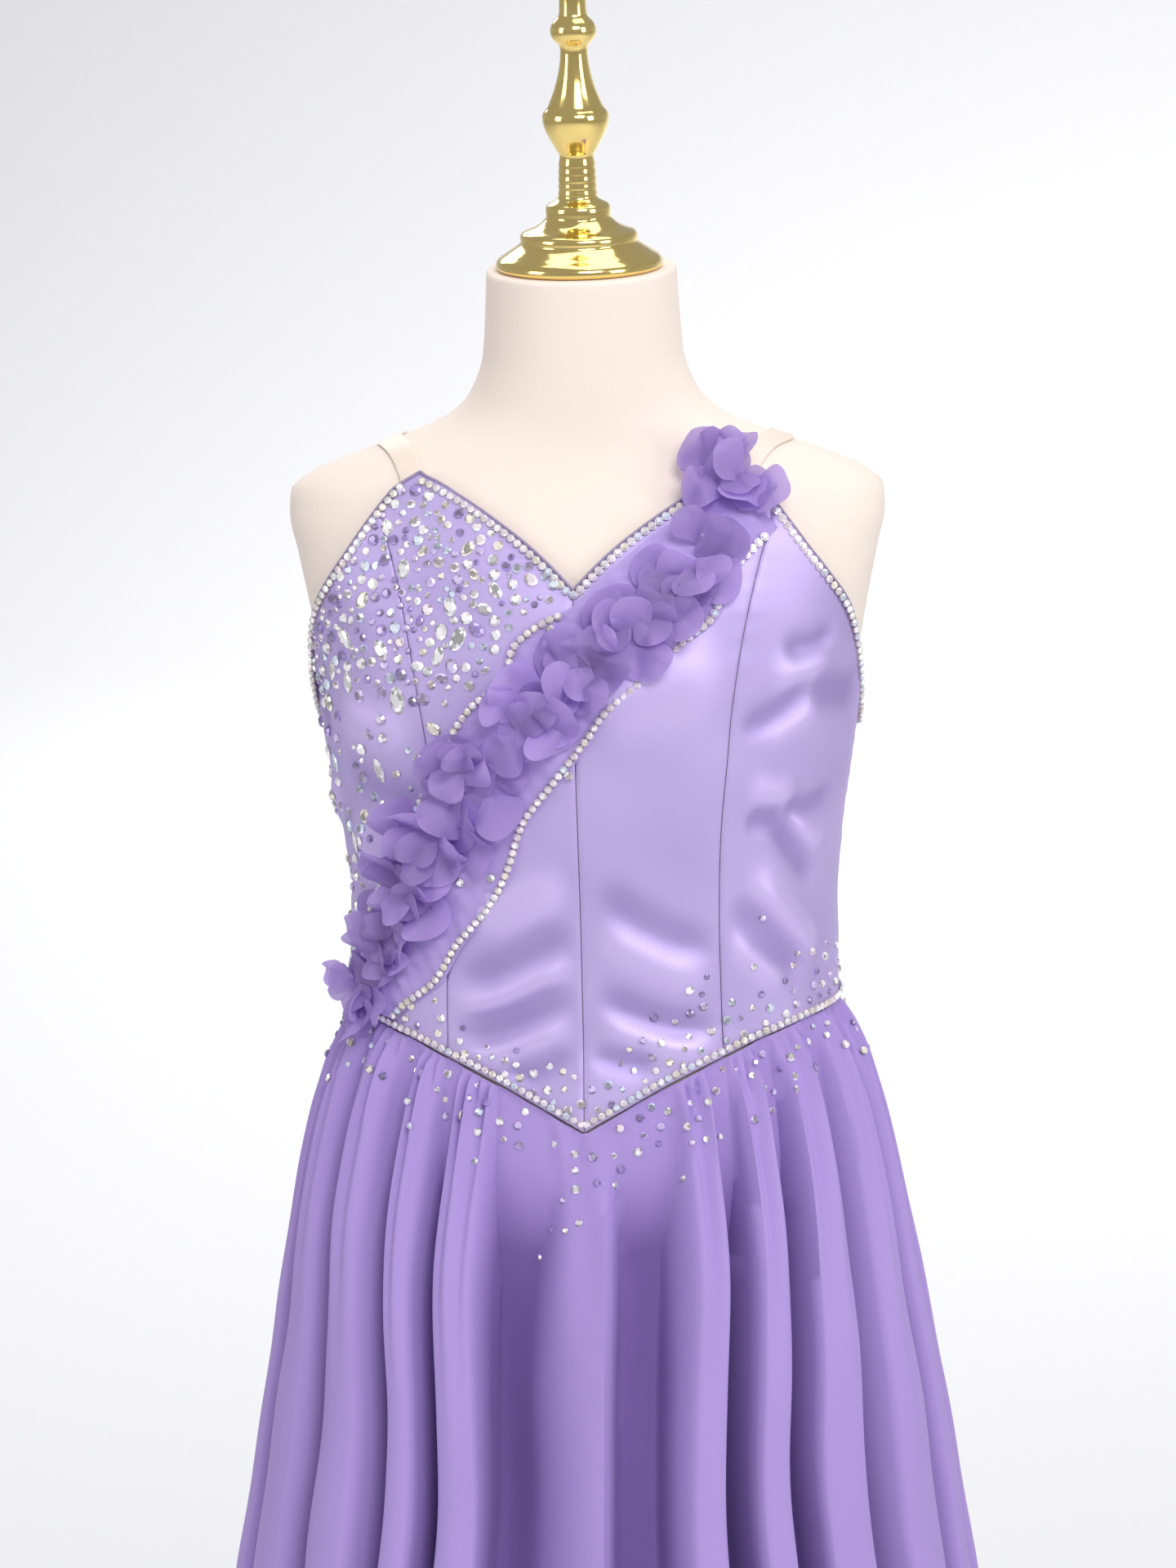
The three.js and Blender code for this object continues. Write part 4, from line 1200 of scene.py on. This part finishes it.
def petal_on(name, foot, base, way, reach, rise, dice):
    """A petal from its foot, on a base of two directions along the cloth and one out of it."""
    first, second, out = base
    along = first * math.cos(way) + second * math.sin(way)
    across = second * math.cos(way) - first * math.sin(way)
    wide = reach * dice.uniform(1.0, 1.25)
    folds = [
        (dice.uniform(-1.2, 1.2), dice.uniform(-0.3, 0.3) * reach, dice.uniform(0.3, 1.1))
        for _ in range(2)
    ]
    hook, twist = dice.uniform(-0.3, 0.12), dice.uniform(-0.3, 0.3)
    waves = [(n, dice.uniform(0, ANY_ANGLE), dice.uniform(low, high)) for n, low, high in WAVES]

    def place(u, v):
        angle = 2 * math.pi * u
        rim = 1 + 0.035 * np.sin(3 * angle + waves[0][1])
        x = (1 + np.cos(angle) * v * rim) / 2 * reach
        y = np.sin(angle) * v * rim / 2 * wide * (0.35 + 0.65 * smooth(2 * x / reach))
        wave = sum(high * np.sin(n * angle + phase) for n, phase, high in waves) * v**2
        z = rise * x + hook * x * x / reach + twist * y * smooth(x / reach) + wave
        for sign, (turned_by, offset, steep) in zip((1, -1), folds):
            beside = (x - reach / 2) * math.sin(turned_by) + y * math.cos(turned_by) - offset
            z = z + sign * steep * (np.sqrt(beside**2 + 0.3) - 0.55) * smooth(1.5 * x / reach)
        # A petal that would dip into the band settles softly on it.
        z = 0.25 + 0.04 * x + np.log1p(np.exp(np.clip(z * 1.5, -30, 30))) / 1.5
        return foot + x[:, None] * along + y[:, None] * across + z[:, None] * out

    piece = lay(name, 36, 9, place)
    keep(piece, "tone", np.full(len(piece.data.vertices), dice.random()))
    cut[name] = (wide * MM, reach * MM, cut[name][2])
    return thicken(merge_doubles(piece), CLOTH["petal"], 0)


def flowers():
    for k, (turn, height, reach) in enumerate(FLOWERS, 1):
        name = f"flower_{k:02d}"
        dice = random.Random(name)
        heart = bodice(turn, height, BAND_BASE + BAND_WALL + 0.6)
        out = way_out(torso, np.float64(turn), np.float64(height))
        first = unit(np.cross((0, 0, 1), out))
        second = np.cross(out, first)
        petals = []
        for count, size, rise, above in RINGS:
            start = dice.uniform(0, ANY_ANGLE)
            for n in range(count):
                way = start + 2 * math.pi * (n + dice.uniform(-0.6, 0.6)) / count
                astray = first * dice.uniform(-ASTRAY, ASTRAY) + second * dice.uniform(-ASTRAY, ASTRAY)
                foot = heart + astray + out * (above + 0.15 * n)
                tall = rise * dice.uniform(0.5, 1.6)
                part = f"{name}_{len(petals)}"
                petals.append(petal_on(part, foot, (first, second, out), way, reach * size, tall, dice))
        names = [piece.name for piece in petals]
        whole = join("chiffon_" + name, petals)
        dress(whole, petal, "petals", name, crease=80)
        declare(whole, names)


flowers()

# %% [markdown]
# ## Scattered stones
# Flat-backed stones are glued thickly on the right cup and thin out downwards, and small ones are sprinkled
# above and below the waist seam. The large ones are set first, from a table. The others are thrown like
# darts: a throw counts only where the dress wants stones and where no other stone is too near.

# %% Stones
LARGE_STONES = [  # turn, height, half length, half width, spin from upright in degrees
    (-37.8, 1110, 7.5, 4.6, 8), (-40.7, 1135, 6, 3.8, 30), (-23, 1142, 6.8, 4, -25),
    (-46.8, 1071, 7, 3.2, 5), (-55, 1044, 4.6, 3.8, 60), (-62, 1028, 6.5, 2.8, -5),
    (-62.8, 1104, 5, 4.2, 20), (-52, 1117, 6, 3, 12), (-51.4, 1140, 6.5, 3.6, 40),
    (-27.4, 1133, 5.5, 3, -20), (-24.2, 1158, 5.2, 3.4, 15), (-33.3, 1176, 5.4, 3.4, 0),
    (-44, 1160, 5.2, 3.4, -35), (-15, 1166, 5, 3, 35), (-58, 1122, 5.5, 2.8, -15), (-20, 1186, 4.6, 3, -40),
    (-68, 1070, 5.5, 3, 10), (-72, 1010, 5, 2.6, 0), (-30, 1096, 4.6, 3.2, 50), (-36, 1196, 4.6, 3.2, 20),
]
BAND_STONES = [
    (-20.5, 1079), (23.9, 1190), (-20.2, 1017), (-27.6, 1014), (-57.4, 957), (-1.4, 1073), (-4.4, 1147),
    (-36, 1024), (12, 1130), (-46, 990), (-13, 1090),
]


def frame_at(surface, a, b, spin):
    """A stone's three directions on a surface: across, up and out, turned by its spin."""
    out = way_out(surface, np.float64(a), np.float64(b))
    side = unit(np.cross((0, 0, 1), out))
    up = np.cross(out, side)
    c, s = math.cos(math.radians(spin)), math.sin(math.radians(spin))
    return np.stack([c * side + s * up, c * up - s * side, out])


class Setter:
    """Keeps the stones that are set, and refuses a place that is too near to another."""

    def __init__(self):
        self.round, self.large, self.centres, self.reaches = [], [], np.empty((0, 3)), np.empty(0)

    def set(self, surface, turn, height, spin, half_wide, half_long, tint, large=False, apart=0.6):
        origin = surface(turn, height)
        reach = (half_wide + half_long) / 2
        if len(self.centres):
            room = np.linalg.norm(self.centres - origin, axis=1) - self.reaches - reach
            if room.min() < apart:
                return False
        axes = frame_at(surface, turn, height, spin)
        stone = (origin, sized(axes, half_wide, half_long, 0.55 * half_wide + 0.5), tint)
        (self.large if large else self.round).append(stone)
        self.centres = np.vstack([self.centres, origin])
        self.reaches = np.append(self.reaches, reach)
        return True

    def pieces(self, name):
        for kind, template, stones in (("", ROUND_STONE, self.round), ("_large", LARGE_STONE, self.large)):
            if stones:
                piece = copies(name + kind, template, [s[:2] for s in stones], [s[2] for s in stones])
                dress(piece, crystal, "crystals", crease=5)
                print(name + kind, len(stones), "stones")


UPPER_BY_TURN = Table("turn height", BAND_UPPER[::-1])
TINTS = [CLEAR, CLEAR, CLEAR, CLEAR, CHAMPAGNE, ICE, ICE, LILAC, LILAC, VIOLET, VIOLET, ROSE]
CUP_AREA = {"turns": (-84, -3), "heights": (960, 1218), "border": 7}
CUP_CROWD = {"sparse": 0.03, "dense_above": 1100, "fade": 45}
CUP_SIZES, WAIST_SIZES = [1.6, 1.9, 2.2, 2.5, 2.8, 2.8, 3.1, 3.4], [1.7, 2.0, 2.3, 2.5]  # half widths
THROWS = {"cup": 12000, "waist": 500}
MOST_ON_CUP = 360


def cup_stones():
    setter, dice = Setter(), random.Random("cup")
    for turn, height, long, wide, spin in LARGE_STONES:
        tint = dice.choice([CLEAR, CLEAR, CHAMPAGNE, ICE])
        setter.set(satin_face, turn, height, spin, wide, long, tint, large=True)
    area = CUP_AREA
    throws = np.array([
        [dice.uniform(*area["turns"]), dice.uniform(*area["heights"]), dice.random()]
        for _ in range(THROWS["cup"])
    ])
    turns, heights = throws[:, 0], throws[:, 1]
    crowd = smooth((heights - CUP_CROWD["dense_above"]) / CUP_CROWD["fade"])
    dense = lerp(CUP_CROWD["sparse"], 1, crowd)
    above_band = UPPER_BY_TURN.read("height", turns) + area["border"] < heights
    below_edge = heights < upper_edge(turns) - area["border"]
    throws = throws[above_band & below_edge & (throws[:, 2] < dense)]
    for turn, height, _ in throws:
        size = dice.choice(CUP_SIZES)
        long = size * dice.choice([1, 1, 1, 1, 1.35])
        spin = dice.uniform(0, 180)
        setter.set(satin_face, turn, height, spin, size, long, dice.choice(TINTS), apart=0.3)
        if len(setter.centres) > MOST_ON_CUP:
            break
    setter.pieces("cup_stones")


def under_band(turn, height):
    """True where the flower band covers the right side of the waist."""
    return turn < -30 and np.interp(turn, BAND_LOWER[::-1, 0], BAND_LOWER[::-1, 1]) < height


def sprinkle(setter, dice, surface, farthest, start, spread, most, apart):
    """Stones on that side of the waist seam where the start is. They spread widest at one turn."""
    low, more, middle, width = spread
    already = len(setter.centres)
    for _ in range(THROWS["waist"]):
        turn = dice.uniform(-farthest, farthest)
        reach = low + more * math.exp(-(((turn - middle) / width) ** 2))
        height = float(waist_seam(turn)) + start + math.copysign(dice.gauss(0, reach / 2), start)
        size = dice.choice(WAIST_SIZES)
        if under_band(turn, height) or len(setter.centres) - already > most:
            continue
        spin = dice.uniform(0, 180)
        setter.set(surface, turn, height, spin, size, size, dice.choice(TINTS), apart=apart)


def waist_stones():
    setter, dice = Setter(), random.Random("waist")
    sprinkle(setter, dice, satin_face, farthest=88, start=5.5, spread=(17, 22, 45, 26), most=84, apart=2.4)
    sprinkle(setter, dice, skirt, farthest=100, start=-6, spread=(26, 24, 0, 22), most=130, apart=2.6)
    setter.pieces("waist_stones")


def band_stones():
    def band_face(turn, height):
        return bodice(turn, height, BAND_BASE + BAND_WALL + 0.7)

    setter = Setter()
    for turn, height in BAND_STONES:
        setter.set(band_face, turn, height, 0, 2.4, 2.4, CLEAR)
    setter.pieces("band_stones")


cup_stones()
waist_stones()
band_stones()

# %% [markdown]
# ## Gilt cap, pole and foot
# The gilt pieces are turned from their profiles, and a Subdivision Surface rounds them. Two rings close
# together keep an edge crisp.

# %% Turned pieces
FINIAL = [
    (42.5, 0.4), (44, 1.2), (44.3, 3), (44, 5), (41.5, 7.2), (38.6, 8.6), (38.2, 9.2), (35, 11), (32, 13.2),
    (30.6, 14.6), (31.2, 16), (31.2, 18), (30, 19.6), (28.2, 20.4), (24, 21.4), (20, 24), (17.6, 26.6),
    (16.8, 27.4), (17.2, 29.5), (17.2, 32.6), (16.2, 34.2), (13.5, 35.4), (11, 36.6), (9.8, 38.5),
    (10.6, 40), (9.5, 41.5), (10.4, 43.4), (9.5, 45.2), (10.4, 47.2), (9.4, 49), (10.2, 51), (9.2, 53),
    (10, 55), (9, 57.5), (9, 60), (10.2, 61.4), (10.6, 62.4), (13, 66.4), (15.6, 71), (17.2, 75.4),
    (17.8, 79.4), (17.2, 82.2), (15.6, 83.6), (14.6, 85), (13.6, 87.4), (12, 91), (10.2, 96), (8.8, 101),
    (7.6, 107), (7, 113), (7.2, 115.6), (8, 117.4), (10.6, 119.4), (12, 122), (12.2, 124.6), (11.8, 127.2),
    (9.6, 130), (7.6, 131.5), (7, 134), (7, 146), (7.6, 149), (9.6, 151), (10.2, 154), (10, 158), (8, 162),
    (4.6, 164),
]
FOOT = [
    (168, 0), (169.6, 0.8), (170, 3), (169.4, 6), (167, 7.6), (163, 8.4), (150, 11), (110, 13), (60, 15),
    (34, 17), (26, 19), (22.6, 21), (21, 24), (20.4, 34), (20, 42), (19, 45.4), (16, 47),
]


def crisp(piece):
    """Rounds a turned piece. Its flat ends are inset first, so they stay flat."""
    select_only(piece)
    bpy.ops.object.mode_set(mode="EDIT")
    bpy.ops.mesh.select_all(action="DESELECT")
    bpy.ops.object.mode_set(mode="OBJECT")
    for face in piece.data.polygons:
        face.select = len(face.vertices) > 4
    bpy.ops.object.mode_set(mode="EDIT")
    bpy.ops.mesh.inset(thickness=0.8 * MM, use_individual=True)
    bpy.ops.object.mode_set(mode="OBJECT")
    rounding = piece.modifiers.new("Rounding", "SUBSURF")
    rounding.levels = rounding.render_levels = 1
    apply_all(piece)
    return piece


def stand():
    neck = {name: column[-1] for name, column in TORSO.columns.items()}
    middle = (neck["back"] - neck["front"]) / 2
    lean = math.tan(math.radians(NECK_LEAN))
    cap = crisp(turned("gilt_cap", FINIAL, 48))
    cap.matrix_world = (
        Matrix.Translation(Vector((0, middle, neck["height"] + lean * middle)) * MM)
        @ Matrix.Rotation(math.radians(NECK_LEAN), 4, "X")
    )
    select_only(cap)
    bpy.ops.object.transform_apply(location=True, rotation=True)
    dress(cap, gilt, "gilt", "neck_finial", crease=60)
    foot = crisp(turned("gilt_foot", FOOT, 64))
    dress(foot, gilt, "gilt", "foot", crease=60)
    low, high = FOOT[-1][1] + SEAM_GAP, TORSO.columns["height"][0] - SEAM_GAP
    wide, chamfer = POLE["radius"], POLE["chamfer"]
    narrow = wide - chamfer
    profile = [(narrow, low), (wide, low + chamfer), (wide, high - chamfer), (narrow, high)]
    dress(turned("gilt_pole", profile, 64), gilt, "gilt", "pole")


stand()
